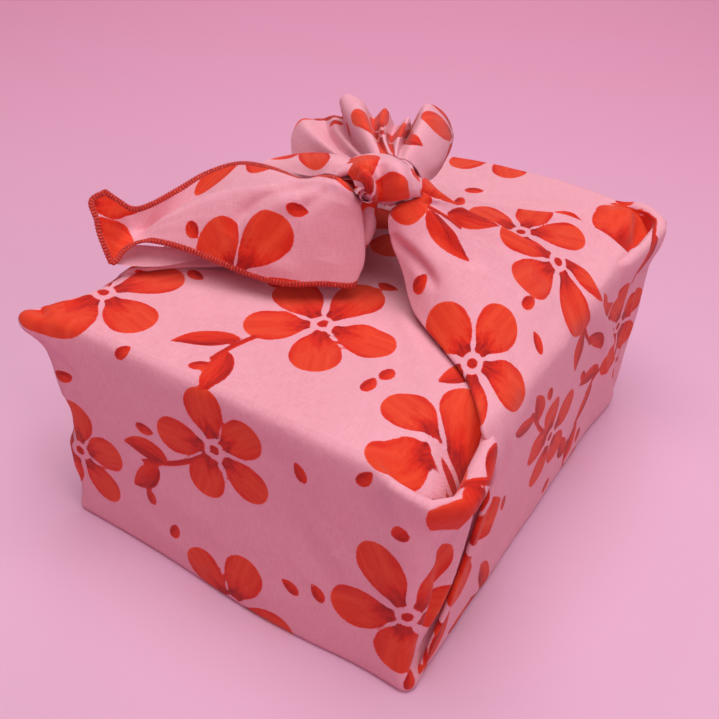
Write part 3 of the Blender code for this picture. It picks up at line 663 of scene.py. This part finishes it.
def backdrop_paper():
    """Pink paper with a painted falloff of light: darker and deeper pink away from the camera."""
    n = Nodes("backdrop_paper")
    around = n.add("TexCoord").outputs["Object"]
    mottled = n.math("MULTIPLY", n.noise(around, 3.0, 2), 0.15)
    ahead = {0: around, 1: (-0.49, 0.87, 0.0)}
    depth = n.add("VectorMath", ahead, operation="DOT_PRODUCT").outputs["Value"]
    # painted falloff of light across the paper, from near the camera to far
    away = n.math("ADD", n.span(depth, -0.25, 0.95, smooth=True), mottled)
    colour = n.mix(away, PAPER_NEAR_PAINTED_LIGHT, PAPER_FAR_PAINTED_SHADE)
    return n.finished({"Base Color": colour, "Roughness": 0.9, "Specular IOR Level": 0.1})


COTTON, THREAD, PAPER = printed_cotton(), hem_thread(), backdrop_paper()


def carried(piece):
    """A piece that stays on the cloth's own body and stands in for its solid."""
    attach(piece, "root")
    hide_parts("furoshiki_cloth")


def declare(piece):
    """A sheet of the cloth, attached to the cloth's body like a carried piece."""
    carried(piece)


# ---- The bundle ----
def outline(half_x, half_y, corner):
    """A rounded rectangle, counter-clockwise from its right-hand front corner."""
    found = []
    for turn, half, steps, sign in (
        (-0.5, half_y, OUTLINE_STEPS_Y, (1, -1)),
        (0, half_x, OUTLINE_STEPS_X, (1, 1)),
        (0.5, half_y, OUTLINE_STEPS_Y, (-1, 1)),
        (1, half_x, OUTLINE_STEPS_X, (-1, -1)),
    ):
        centre = np.array([sign[0] * (half_x - corner), sign[1] * (half_y - corner)])
        angles = np.pi * (turn + np.linspace(0, 0.5, CORNER_STEPS + 1))
        arc = centre + corner * np.stack([np.cos(angles), np.sin(angles)], axis=1)
        heading = np.array([-np.sin(angles[-1]), np.cos(angles[-1])])
        ease = 0.5 - 0.5 * np.cos(np.linspace(0, np.pi, steps + 1)[1:-1])
        even = np.linspace(0, 1, steps + 1)[1:-1]
        share = CORNER_EASE * ease + (1 - CORNER_EASE) * even
        found += [arc, arc[-1] + heading * (2 * (half - corner) * share)[:, None]]
    return np.concatenate(found)


def side_profile():
    """Height, inset and corner of the side's rows, evenly spaced up the side."""
    dense = through(SIDE_LEVELS, 400)
    run = np.concatenate([[0], np.cumsum(np.hypot(*np.diff(dense[:, :2], axis=0).T))])
    at = np.concatenate([np.linspace(0, run[-1] - RIM_REACH, SIDE_ROWS - RIM_ROWS, endpoint=False),
                         np.linspace(run[-1] - RIM_REACH, run[-1], RIM_ROWS)])
    return np.stack([np.interp(at, run, dense[:, k]) for k in range(3)], axis=1)


# A lip is the rim of the cloth rolled up round a corner, with a pocket sunk behind it.
LipPoint = namedtuple("LipPoint", "at radius depth")
LIPS = (
    (
        LipPoint((64, -128.0, 116.6), 2.6, 0.0),
        LipPoint((78, -128.4, 114.4), 2.6, 2.0),
        LipPoint((88, -128.4, 112.8), 2.7, 5.0),
        LipPoint((95.5, -127.6, 111.4), 3.0, 10.0),
        LipPoint((101, -125.4, 109.4), 3.4, 16.0),
        LipPoint((104.2, -120.4, 108.3), 4.0, 21.0),
        LipPoint((105.2, -113.4, 108.6), 4.6, 24.0),
        LipPoint((104.8, -105.4, 109.8), 5.0, 26.0),
        LipPoint((103.4, -97, 110.8), 4.9, 26.0),
        LipPoint((101.4, -88, 111.8), 4.2, 22.0),
        LipPoint((98.8, -80, 113.2), 3.2, 13.0),
        LipPoint((96.4, -70, 115.0), 2.6, 0.0),
    ),
    (
        LipPoint((98.6, 66, 118.4), 3.2, 0.0),
        LipPoint((99.8, 78, 119.2), 3.3, 8.0),
        LipPoint((101.2, 90, 119.8), 3.4, 15.0),
        LipPoint((102.6, 103, 120.4), 3.6, 18.0),
        LipPoint((103.6, 115, 121.0), 3.8, 16.0),
        LipPoint((102.8, 124, 121.8), 3.8, 12.0),
        LipPoint((97.5, 130.5, 122.6), 3.6, 7.0),
        LipPoint((87, 133.0, 123.6), 3.4, 3.0),
        LipPoint((72, 132.6, 124.6), 3.2, 0.0),
    ),
)
LIP_REACH = 16.0  # how near the rim of the box has to be to a roll to be drawn round it
LIP_FADE = 0.14  # share of a lip's length over which it comes and goes
LIP_SPAN = 27.0  # how far the pocket reaches in behind its roll
LIP_FALL = 26.0  # how far down the side the bulge of the roll fades out


def with_lip(shaped, rim, arc, lip):
    """Draws the skin round a rolled lip: up its outer side, over it and down into its pocket."""
    table = np.array([(*point.at, point.radius, point.depth) for point in lip])
    dense = through(table, 24 * (len(table) - 1))
    ahead = unit(np.gradient(dense[:, :2], axis=0))
    outward = np.column_stack([ahead[:, 1], -ahead[:, 0]])
    gap = np.linalg.norm(rim[:, None, :2] - dense[None, :, :2], axis=2)
    nearest = gap.argmin(axis=1)
    share = nearest / (len(dense) - 1)
    weight = smooth_step(np.minimum(share, 1 - share), 0.0, LIP_FADE)
    weight[gap.min(axis=1) > LIP_REACH] = 0
    at, out = dense[nearest], np.column_stack([outward[nearest], np.zeros(len(nearest))])
    centre, radius, depth = at[:, :3], at[:, 3], at[:, 4]
    start = arc[:, None] - np.interp(centre[:, 2], [0, 118], [0, 118.3])[None, :]
    angle = np.clip(start / radius, 0, np.pi)
    up = np.array([0.0, 0.0, 1.0])
    roll = centre + radius[:, None] * (np.cos(angle)[..., None] * out + np.sin(angle)[..., None] * up)
    below = roll + np.minimum(start, 0)[..., None] * up
    mixed = smooth_step(start, -LIP_FALL, -2.0)[..., None]
    side = shaped * (1 - mixed) + below * mixed
    inside = np.clip((start - np.pi * radius) / LIP_SPAN, 0, 1)
    far = smooth_step(inside, 0.0, 1.0)[..., None]
    sink = depth * smooth_step(inside, 0.0, 0.16) * (1 - inside) ** 1.9
    pocket = roll * (1 - far) + shaped * far - sink[..., None] * up
    target = np.where((start < 0)[..., None], side, roll)
    target = np.where((start > np.pi * radius)[..., None], pocket, target)
    target = np.where((inside >= 1)[..., None], shaped, target)
    rolled = (weight[None, :] > 0.1) & (start < np.pi * radius + 4)
    return shaped + (target - shaped) * weight[None, :, None], rolled


def pushed(points, names):
    """Moves points by the named pushes of the bundle."""
    moved = points.copy()
    for push in PUSHES:
        if push.name in names:
            away = np.linalg.norm(points - np.array(push.at), axis=-1)
            moved += np.exp(-((away / push.reach) ** 2))[..., None] * np.array(push.by, float)
    return moved


def body_rings():
    """Rings of the box's skin, from the margin under its base up its sides and in over its top."""
    foot = SIDE_LEVELS[0]
    rings = []
    for share in BASE_SHARES:
        flat = outline(WIDTH / 2 - foot.inset, DEPTH / 2 - foot.inset, foot.corner) * share
        rings.append(np.column_stack([flat, np.full(len(flat), BASE_CLEAR)]))
    for height, inset, corner in side_profile():
        flat = outline(WIDTH / 2 - inset, DEPTH / 2 - inset, corner)
        rings.append(np.column_stack([flat, np.full(len(flat), height)]))
    rim = rings[-1]
    close = np.concatenate([np.full(count, step) for count, step in CLOSE_RINGS])
    rest = TOP_ROWS - len(close)
    steps = np.concatenate([close, np.full(rest, (TOP_REACH - close.sum()) / rest)])
    for share in 1 - np.cumsum(steps):
        ring = rim.copy()
        ring[:, :2] *= share
        ring[:, 2] = HEIGHT + TOP_CROWN * (1 - share)
        rings.append(ring)
    return np.array(rings)


def folded_skin(grid, arc):
    """The box's skin with its folds, lips, ridges and slack, and which places are on a lip."""
    round_way = np.roll(grid, -1, axis=1) - np.roll(grid, 1, axis=1)
    outward = unit(np.cross(round_way, np.gradient(grid, axis=0)))
    shaped = grid.copy()
    for fold in BODY_FOLDS:
        away, _ = path_offsets(grid, fold.path)
        shaped += outward * (fold.rise * np.exp(-((away / fold.width) ** 2)))[..., None]
    shaped += pushed(grid, [push.name for push in PUSHES]) - grid
    on_lip = np.zeros(grid.shape[:2], bool)
    for lip in LIPS:
        shaped, rolled = with_lip(shaped, grid[SIDES_END - 1], arc, lip)
        on_lip |= rolled
    settled = np.clip(grid[..., 2] / 20, 0, 1)  # the foot stays where it stands
    shaped = creased(shaped, np.broadcast_to([0.0, 0.0, 1.0], shaped.shape), TOP_RIDGES)
    shaped = creased(shaped, outward * settled[..., None], BODY_CREASES)
    uneven = 0.45 * ripple(grid, 3, 60) + 0.16 * ripple(grid, 4, 19)
    shaped += outward * (uneven * settled)[..., None]
    shaped[:len(BASE_SHARES), :, 2] = BASE_CLEAR
    shaped[len(BASE_SHARES), :, 2] = FOOT_CLEAR
    shaped[..., 2] = np.maximum(shaped[..., 2], FOOT_CLEAR)
    return shaped, on_lip


SIDE_START = (400, 60)  # where the sides' own run of the flat cloth starts
BACK_BAND, BACK_BAND_CORNER = 8, 3  # faces this near to the back belong to the back
SEAM_BEHIND = 4  # a side's run of cloth starts this far behind the strap's turned edge


def flat_spots(grid, arc, on_lip, rows, columns):
    """Places on the flat cloth of the faces' corners: the front, the top and the back are one run
    of cloth, each side another."""
    around = lengths_across(np.concatenate([grid, grid[:, :1]], axis=1))
    turned = columns % grid.shape[1]
    at = grid[rows, turned]
    middle = at.mean(axis=1)
    up = arc[rows]
    half_top = grid[SIDES_END - 1, :, 1].max()
    rim = half_top + arc[SIDES_END - 1]
    side_rows = np.minimum(rows, SIDES_END - 1)
    run = around[side_rows, columns]
    total = around[side_rows, -1]
    run = np.where(run > total / 2, run - total, run) + grid[side_rows, 0, 0]
    spot = np.stack([run, up], axis=-1)
    is_top = (rows[:, 0] >= SIDES_END - 1) & ~on_lip[rows, turned].all(axis=1)
    spot[is_top] = (at[..., :2] + (0, rim))[is_top]
    band = np.where(np.abs(middle[:, 0]) < WIDTH / 2 - 4, BACK_BAND, BACK_BAND_CORNER)
    back = ~is_top & (middle[:, 1] > DEPTH / 2 - band)
    spot[back] = np.stack([at[..., 0], 2 * rim - up], axis=-1)[back]
    folds = np.array([row.fold for row in MAIN_PANEL[1:6]])
    seam = np.interp(middle[:, 2], folds[:, 2], folds[:, 1] + SEAM_BEHIND)
    side = ~is_top & ~back & (middle[:, 1] > seam)
    way = np.where(at[..., 0] > 0, 1.0, -1.0)
    spot[side] = np.stack([way * (at[..., 1] + SIDE_START[0]), up + SIDE_START[1]], axis=-1)[side]
    return np.concatenate([spot.reshape(-1, 2), grid[-1, :, :2] + (0, rim)])


def bundle():
    """The cloth over the box: its sides, its top and a margin turned in under the base."""
    grid = body_rings()
    count = grid.shape[1]
    arc = lengths_along(grid[:, 0])
    arc -= arc[len(BASE_SHARES)]  # the way up the skin from its foot
    shaped, on_lip = folded_skin(grid, arc)
    row, column = np.divmod(np.arange((len(grid) - 1) * count), count)
    rows = np.stack([row, row, row + 1, row + 1], axis=1)
    columns = np.stack([column, column + 1, column + 1, column], axis=1)
    faces = (rows * count + columns % count).tolist()
    faces.append(list(range((len(grid) - 1) * count, len(grid) * count)))
    spot = flat_spots(grid, arc, on_lip, rows, columns)
    return cloth_object("wrap_body", shaped.reshape(-1, 3), faces, spot, per_corner=True)


TAIL_THICK, FRONT_AND_UP = 0.7, np.array([0.39, -0.70, 0.60])
BASE_HALF, BASE_HEIGHT = (81, 105), 0.6  # the cloth under the box

# ---- Small loose folds: rows along, columns from one edge to the other ----
FoldRow = namedtuple("FoldRow", "place one middle other")
TAIL_FOLD = (
    FoldRow("out of the knot", (-12.5, -15.5, 179.5), (-10.5, -21.5, 178.5), (-10, -24.5, 174.5)),
    FoldRow("behind the roll", (-27, -11.5, 177), (-22.5, -19, 177.5), (-19, -25, 174.5)),
    FoldRow("along the hem", (-43, -8.5, 171.5), (-36.5, -17, 172), (-30, -23, 169)),
    FoldRow("thin", (-54, -11.5, 167.5), (-49, -17, 168), (-43.5, -21.5, 166.5)),
    FoldRow("end", (-60.5, -17.5, 165.5), (-57.5, -20, 165), (-54, -22, 164)),
)
SMALL_FOLD = (
    FoldRow("root", (8, 6, 174.5), (16.5, -3, 172.5), (18.5, -7, 167.5)),
    FoldRow("middle", (15, 7.5, 170), (21, 2, 168.5), (22.5, -1, 165.5)),
    FoldRow("tip", (22.5, 8.5, 165), (25.5, 7, 164.5), (27, 6, 162.5)),
    FoldRow("under", (29.5, 12, 160), (31, 11.5, 159.5), (32, 11.5, 158.5)),
)
TAIL_UNDER = (
    FoldRow("left foot", (-96.5, -89, 129), (-97.5, -84, 130.5), (-97.5, -78.5, 132)),
    FoldRow("under the hook", (-90.5, -83, 127), (-93.5, -78.5, 129), (-94.5, -73.5, 132.5)),
    FoldRow("middle", (-80.5, -74, 126), (-83.5, -70.5, 128.5), (-84.5, -67, 132)),
    FoldRow("right", (-71.5, -65, 127.5), (-73, -63, 129), (-74, -61.5, 131.5)),
    FoldRow("end", (-67, -58.5, 128), (-67, -58, 129), (-67.5, -57.5, 130)),
)

# A crease is a soft fold that fades at its ends; a negative rise is a trough.
Crease = namedtuple("Crease", "name path rise width")
TOP_RIDGES = (
    Crease("back ridge", ((56, 93, 120), (67, 103, 120), (76, 116, 120), (83, 123, 120), (89, 117, 120),
        (91, 103, 120), (95, 88, 120)), 7.6, 3.7),
    Crease("valley behind the ridge", ((89, 127, 120), (93.5, 117, 120), (95, 104, 120), (96, 90, 120)),
        -15.0, 3.6),
    Crease("hollow before the ridge", ((60, 86, 120), (70, 100, 120), (78, 108, 120), (86, 100, 120)),
        -2.2, 5.5),
)
BODY_CREASES = (
    Crease("edge of the front cloth", ((104, -92, 96), (103, -92, 82), (102, -97, 68), (101, -104, 53),
        (100, -112, 36), (98, -120, 12)), 3.0, 4.4),
    Crease("pleat under the strap", ((101, -83, 112), (101, -83, 84), (101, -95, 56), (101, -112, 26),
        (100, -124, 4)), -17.0, 3.8),
    Crease("slack under the knot", ((14, -30, 120), (30, -45, 120), (44, -60, 120), (62, -84, 120)),
        -1.2, 6),
    Crease("beside it", ((22, -28, 120), (42, -46, 120), (60, -62, 120)), 1.0, 5),
    Crease("slack from the strap", ((24, -23, 121), (27.5, -49.5, 120), (30, -77.5, 120)), -1.2, 6),
    Crease("pull to the corner", ((61, -53.5, 120), (73.5, -86.5, 120), (82, -106, 117)), 0.9, 7),
    Crease("second slack", ((6, -38, 120), (14, -62, 120), (18, -90, 120)), -0.7, 8),
    Crease("front slack", ((-12.5, -129.5, 113), (8.5, -129.5, 101.5), (39, -129.5, 101)), -0.9, 8),
    Crease("pull below the lip", ((84, -129, 106), (70, -129, 88), (62, -129, 62)), -1.2, 8),
    Crease("second pull below it", ((94, -129, 100), (86, -129, 78), (84, -129, 52)), 0.9, 6),
    Crease("low front", ((-62, -130.5, 59.5), (-27, -130, 46), (12, -128.5, 42.5)), 0.8, 9),
    Crease("across the front", ((30, -130, 78), (58, -130, 46), (80, -130, 30)), -0.9, 8),
    Crease("foot of the front", ((-60, -130, 20), (0, -130, 14), (60, -130, 22)), 0.7, 7),
    Crease("tuck at the ear", ((-121, -126, 126), (-110, -128, 123.5), (-101, -130.5, 119.5),
        (-93, -131, 115)), -4.8, 2.4),
    Crease("lobe under the tuck", ((-113, -122, 116), (-110.5, -131.5, 116), (-102, -137, 113)), 1.8, 3.6),
    Crease("ear's upper fold", ((-104, -122, 121), (-98, -112, 121), (-92, -98, 120)), 1.6, 3.6),
    Crease("ear's lower pull", ((-108, -134, 108), (-96, -133, 100), (-84, -131, 88)), -1.2, 5),
    Crease("left edge dent", ((-100, -128, 76), (-98, -129, 62), (-99, -128, 46)), -2.0, 8),
    Crease("left edge bulge", ((-101, -128, 52), (-101, -128, 36), (-101, -128, 24)), 1.4, 8),
    Crease("top, left half", ((-70, -60, 120), (-40, -84, 120), (-30, -120, 120)), -0.9, 10),
    Crease("back slack", ((-40, 130, 96), (0, 130, 84), (48, 130, 92)), -1.1, 9),
    Crease("low back", ((-60, 130, 40), (0, 130, 30), (64, 130, 44)), 0.9, 9),
    Crease("back pull to the corner", ((60, 130, 60), (80, 130, 88), (96, 130, 108)), 1.0, 7),
)
STRAP_CREASES = (
    Crease("valley at the fold", ((17, -25, 156), (19, -25.5, 153), (23.5, -25, 150.5), (30, -26, 147.5),
        (38.5, -29, 144), (46, -32, 139)), -3.0, 3.2),
    Crease("roll beside it", ((20.5, -25, 157.5), (28, -24, 153.5), (37.5, -25.5, 150), (47, -27, 145)),
        1.3, 4.2),
    Crease("under the back edge", ((32, -9, 162.5), (40, -0.5, 155), (51, 9, 147), (64.5, 16.5, 139.5)),
        -1.4, 3.6),
    Crease("pull towards the knot", ((29.5, -19.5, 161), (42.5, -16.5, 153), (58.5, -12, 144)), -1.6, 3.2),
    Crease("second pull", ((52, -14, 148), (70, -8.5, 138), (90, -3.5, 126.5)), 1.0, 4.5),
    Crease("third pull", ((34, -14, 160), (48, -4, 151), (66, 4, 141)), 1.1, 2.6),
    Crease("slack in the loop", ((75, 28, 133.5), (84.5, 30, 129), (94.5, 31, 123.5)), -0.7, 2.2),
    Crease("slack over the edge", ((76, -27.5, 133.5), (86, -34.5, 127.5), (96.5, -47.5, 121.5),
        (102, -59.5, 110)), -0.9, 5),
    Crease("second slack over the edge", ((70, 6, 138), (86, 2, 130), (99, -4, 120), (102, -10, 104)),
        0.7, 5),
    Crease("low slack", ((101.5, -3, 95.5), (101, -16, 73), (101.5, -46, 64)), 0.9, 7),
    Crease("fold beside the turned edge", ((103, -72, 112), (103, -68, 92), (103, -74, 66),
        (103, -90, 36)), -1.3, 2.6),
    Crease("ridge beside that", ((103, -64, 108), (103, -60, 88), (103, -66, 62), (103, -82, 34)), 0.8, 3),
    Crease("fold near the back", ((101.5, 46, 104), (101.5, 66, 74), (101.5, 80, 50), (101.5, 96, 24)),
        1.5, 2.6),
)
UNDER_CREASES = (
    Crease("fold by the back edge", ((100.5, 98, 108), (100.5, 108, 76), (100.5, 112, 40)), 1.4, 2.6),
    Crease("slack on the top", ((60, 50, 132), (76, 56, 126), (90, 62, 121)), -0.8, 3),
)
TAIL_CREASES = (
    Crease("valley behind the front panel", ((-14, -35, 176), (-19.5, -37.5, 174.5), (-28.5, -41.5, 172),
        (-39, -48.5, 165.5), (-46, -53.5, 157.5), (-49.5, -59.5, 147)), -3.0, 3.8),
    Crease("fullness before it", ((-22, -43.5, 169.5), (-31.5, -48.5, 164), (-38, -55, 154),
        (-40.5, -59.5, 144.5)), 1.8, 5),
    Crease("gather from the knot", ((-10, -33.5, 175), (-14.5, -40, 169.5), (-21.5, -46.5, 162)),
        -1.2, 3.0),
    Crease("slack near the fold", ((-3.5, -34, 167), (-4, -38, 155), (-5, -43, 141)), -0.9, 6),
    Crease("lift along the hem", ((-51, -61.5, 143), (-31.5, -59, 139), (-15.5, -51.5, 136)), 1.0, 5),
)
WRAP_CREASES = (
    Crease("edge of the curl", ((-2, -24, 186), (1, -27.5, 185), (5, -26.5, 183), (7, -24, 178),
        (8.5, -24, 173.5), (7.5, -24, 169)), -1.5, 1.5),
    Crease("fullness of the curl", ((-1.5, -28, 182), (5.5, -32, 181.5), (8, -33, 178)), 0.7, 3.0),
    Crease("pull over the top", ((9, -16.5, 186.5), (14.5, -22.5, 185.5), (18, -25.5, 181)), -0.5, 2.4),
    Crease("second pull", ((15.5, -12.5, 183), (19, -15, 181), (22, -17.5, 177)), -0.4, 2.2),
)


FRONT_TURN, BACK_TURN = (1.3, 16), (1.0, 12)  # radius and reach of a strap's turned edges


def strap(name, points, side, start, turn):
    """A strap with both its long edges turned, standing just clear of the floor. side is 1 where
    the grid's normals look out and -1 where they look in."""
    points = turned_edge(points, side * normals(points), *FRONT_TURN, last=False)
    points = turned_edge(points, side * normals(points), *BACK_TURN)
    flat = cloth_places(points, start, turn)
    points[..., 2] = np.maximum(points[..., 2], STRAP_CLEAR)
    return grid_object(name, points, flat)


def raised_edge(points, by, start):
    """Raises a strap's back edge, from the share start of its width on."""
    rise = by * smooth_step(np.linspace(0, 1, points.shape[1]), start, 1.0)
    return points - normals(points) * rise[None, :, None]


def main_cloth():
    """The strap's main panel: uneven, creased and a little off the box."""
    points = raised_edge(surface(MAIN_PANEL, (250, 110)), 2.2, 0.82)
    uneven = 0.35 * ripple(points, 7, 45) + 0.12 * ripple(points, 8, 15)
    points -= normals(points) * (0.6 + uneven)[..., None]
    return creased(points, -normals(points), STRAP_CREASES)


def under_cloth():
    """The panel under the strap, sunk below it towards the top's back edge."""
    points = pushed(surface(UNDER_PANEL, (190, 60)), ("back right bulge", "slack over the back edge"))
    points += -normals(points) * (0.3 * ripple(points, 9, 40))[..., None]
    points = creased(points, -normals(points), UNDER_CREASES)
    drop = 1.7 * (1 - smooth_step(np.linspace(0, 1, points.shape[1]), 0.45, 0.85))[None, :]
    drop = drop * smooth_step(points[..., 2], 119, 124)
    points += normals(points) * drop[..., None]
    return raised_edge(points, 2.0, 0.80)


def mirrored(points):
    """The left side's copy of a sheet on the right, moved over to reach the knot."""
    flipped = points.copy()
    nearness = np.clip(1 - np.abs(points[..., 0]) / (WIDTH / 2), 0, 1)
    flipped[..., 0] = -points[..., 0] + LEFT_SHIFT * nearness
    return flipped


def scroll(rolls, start, turns, tight, grid):
    """A sheet rolled about a path, its inner edge drawn in to the share tight of its radius."""
    dense = through([(*roll.at, roll.radius) for roll in rolls], grid[0])
    ahead = unit(np.gradient(dense[:, :3], axis=0))
    side = unit(np.cross(ahead, [0.0, 0.0, 1.0]))
    up = np.cross(side, ahead)
    angles = np.radians(start) + np.linspace(0, 2 * np.pi * turns, grid[1] + 1)
    shrink = np.linspace(1, tight, grid[1] + 1)
    ring = side[:, None] * np.cos(angles)[:, None] + up[:, None] * np.sin(angles)[:, None]
    return dense[:, None, :3] + ring * (dense[:, 3:] * shrink)[..., None]


RollPoint = namedtuple("RollPoint", "at radius")
PLEAT = (
    RollPoint((1, -17, 178.5), 5.0),
    RollPoint((-4, -20, 179), 4.8),
    RollPoint((-9, -24, 178.5), 4.2),
    RollPoint((-12.5, -27, 177), 3.0),
)
CURL = (
    RollPoint((-0.5, -23, 169.5), 5.0),
    RollPoint((4, -29.5, 173), 4.8),
    RollPoint((6.6, -33, 174.3), 4.3),
)
INNER_ROLL = (
    RollPoint((-4, -10, 163), 3.5),
    RollPoint((-1.5, -15.5, 161.5), 3.8),
    RollPoint((0.5, -19.5, 157.5), 4.0),
    RollPoint((1.5, -21.5, 151.5), 4.0),
    RollPoint((0, -23, 145), 3.6),
    RollPoint((-4, -24, 139), 3.0),
)


def gathered_core():
    """The front of the gathered cloth inside the knot, open at its back."""
    turn = np.radians(np.linspace(150, 390, 91))[None, :]
    tilt = np.radians(np.linspace(8, 172, 61))[:, None]
    ruck = 1 + 0.05 * np.sin(9 * turn + 2.2 * np.sin(3 * tilt)) + 0.03 * np.sin(17 * turn + tilt)
    way = np.stack([np.sin(tilt) * np.cos(turn), np.sin(tilt) * np.sin(turn),
                    -np.cos(tilt) * np.ones_like(turn)], axis=-1)
    return KNOT_AT + way * ruck[..., None] * KNOT_HALF * (0.72, 0.72, 0.84) + (-1.5, 3.5, 0)


def fan_cloth():
    """The back tail, and the rows of its end that show a hem. Its top edge is rolled away from the
    knot, except along the second flute, and less near the cone roll."""
    points = surface(BACK_TAIL, (330, 100))[:, :95]
    flute = np.linspace(0, len(BACK_TAIL) - 1, len(points))[:, None]
    rolled = 1 - np.exp(-(((flute - 4.6) / 1.7) ** 4))
    rolled *= smooth_step(flute, 0, 1) * (1 - smooth_step(flute, 17, 18))
    rolled *= 1 - 0.75 * np.exp(-(((flute - 12.2) / 2.0) ** 4))
    points = turned_edge(points, facing(points, FRONT_AND_UP), 0.3 + 2.1 * rolled, 0.4 + 3.0 * rolled)
    return points, (flute[:, 0] > 2.9) & (flute[:, 0] < 6.5)


body = bundle()
main_panel, under_panel = main_cloth(), under_cloth()
right_strap = strap("right_strap", main_panel, -1, (300, 200), 270)
right_under = strap("right_under", under_panel, -1, (900, 100), 60)
left_strap = strap("left_strap", mirrored(main_panel), 1, (1500, 340), 200)
left_under = strap("left_under", mirrored(under_panel), 1, (1800, 60), 10)
band = surface(KNOT_WRAP, (110, 110))[:98]
band = creased(band, facing(band, band - KNOT_AT), WRAP_CREASES)
knot_wrap = grid_object("knot_wrap", band, cloth_places(band, (400, 400), 90))
tail = surface(LEFT_TAIL, (190, 110))
tail = creased(tail, facing(tail, FRONT_AND_UP), TAIL_CREASES)
left_tail = grid_object("left_tail", tail, cloth_places(tail, (200, 200), 270), TAIL_THICK)
fan, hem_rows = fan_cloth()
back_tail = grid_object("back_tail", fan, cloth_places(fan, (700, 400), 135), TAIL_THICK)


def edge_hem(name, grid, edge):
    """The overlocked edge along one side of a grid: its first or last column, or its last row."""
    line, inner = {
        "first column": (grid[:, 0], grid[:, 2]),
        "last column": (grid[:, -1], grid[:, -3]),
        "last row": (grid[-1], grid[-3]),
    }[edge]
    wide = unit(line - inner)
    return hem_object(name, line - wide * HEM_INSET, wide)


def base_grid():
    """The cloth that closes the bundle's underside."""
    across, along = (np.linspace(-half, half, count) for half, count in zip(BASE_HALF, (61, 71)))
    flat = np.meshgrid(across, along, indexing="ij")
    return np.stack([*flat, np.full(flat[0].shape, BASE_HEIGHT)], axis=-1)


pieces = {}
for name, points, start, turn in (
    ("knot_pleat", scroll(PLEAT, -150, 1.35, 0.35, (60, 60)), (1320, 250), 70),
    ("left_strap_roll", scroll(INNER_ROLL, 335, 0.8, 1.0, (70, 36)), (1515, 300), 160),
    ("knot_curl", scroll(CURL, 10, 1.35, 0.35, (40, 70)), (1180, 180), 30),
    ("knot_core", gathered_core(), (1135, 60), 30),
    ("wrap_base", base_grid(), (2400, 900), 0),
    ("tail_fold", surface(TAIL_FOLD, (60, 24)), (300, 700), 15),
    ("small_fold", surface(SMALL_FOLD, (40, 20)), (640, 700), 80),
    ("tail_under", surface(TAIL_UNDER, (60, 16)), (900, 750), 120),
):
    pieces[name] = grid_object(name, points, cloth_places(points, start, turn))
hems = [
    edge_hem("left_tail_front_hem", tail[14:], "first column"),
    edge_hem("left_tail_back_hem", tail[30:], "last column"),
    edge_hem("left_tail_corner_hem", tail, "last row"),
    edge_hem("back_tail_end_hem", fan[hem_rows, :96], "last column"),
]

# Flat sizes in metres. Where the cut isn't a rectangle, its flat area is given too.
for piece, flat, held, area in (
    (body, (0.44, 0.50), "draped", 0.180),
    (right_strap, (0.26, 0.30), "folded", 0.037),
    (right_under, (0.08, 0.26), "folded", None),
    (left_strap, (0.26, 0.30), "folded", 0.038),
    (left_under, (0.085, 0.26), "folded", None),
    (pieces["wrap_base"], (0.162, 0.210), "folded", None),
    (knot_wrap, (0.034, 0.048), "gathered", None),
    (pieces["knot_pleat"], (0.018, 0.024), "folded", None),
    (pieces["knot_curl"], (0.013, 0.029), "folded", None),
    (pieces["knot_core"], (0.025, 0.028), "gathered", None),
    (pieces["left_strap_roll"], (0.018, 0.035), "folded", None),
    (pieces["tail_fold"], (0.013, 0.050), "folded", None),
    (pieces["tail_under"], (0.010, 0.035), "folded", None),
    (pieces["small_fold"], (0.010, 0.022), "folded", None),
):
    declare(piece)
declare(left_tail)
declare(back_tail)
for hem in hems:
    carried(hem)

# ---- Stage, light and camera ----
mesh = bpy.data.meshes.new("floor")
mesh.from_pydata([(-6, -6, 0), (6, -6, 0), (6, 6, 0), (-6, 6, 0)], [], [(0, 1, 2, 3)])
floor = placed("floor", mesh, PAPER)


def area_light(name, at, toward, size, power, colour):
    data = bpy.data.lights.new(name, "AREA")
    data.shape, data.size, data.size_y = "RECTANGLE", size[0], size[1]
    data.energy, data.color = power, colour
    lamp = placed(name, data)
    way = np.array(toward, float) - at
    lamp.location = at
    lamp.rotation_euler = Vector(way).to_track_quat("-Z", "Y").to_euler()


area_light("key", (0.08, -0.08, 1.46), (0, 0, 0.08), (1.3, 1.1), 18.4, (1.0, 0.98, 0.98))
area_light("side", (1.3, -0.5, 0.9), (0, 0, 0.06), (0.7, 0.7), 5.2, (1.0, 0.78, 0.84))
area_light("front_fill", (-0.5, -1.6, 0.8), (0, 0, 0.08), (0.8, 0.7), 2.6, (1.0, 0.52, 0.60))
area_light("back_wash", (-0.7, 1.5, 1.1), (-0.4, 1.1, 0), (1.2, 0.8), 6.0, (1.0, 0.95, 0.98))

world = bpy.data.worlds.new("studio")
world.use_nodes = True
background = world.node_tree.nodes["Background"]
background.inputs["Color"].default_value = (1.0, 0.42, 0.58, 1.0)
background.inputs["Strength"].default_value = 0.13
bpy.context.scene.world = world
bpy.context.scene.view_settings.view_transform = "Standard"

# The photograph's camera, solved from the bundle's corners.
data = bpy.data.cameras.new("camera")
data.lens, data.sensor_width = 50.126, 36.0
data.clip_start, data.clip_end = 0.01, 50.0
camera = placed("camera", data)
right = (0.85004500, 0.52369610, 0.05626618)
down = (0.35409042, -0.48910431, -0.79711790)
ahead = (-0.38992751, 0.69750940, -0.60119649)
camera.matrix_world = Matrix([
    (right[0], -down[0], -ahead[0], 0.20246396),
    (right[1], -down[1], -ahead[1], -0.37934811),
    (right[2], -down[2], -ahead[2], 0.38326865),
    (0, 0, 0, 1),
])
bpy.context.scene.camera = camera
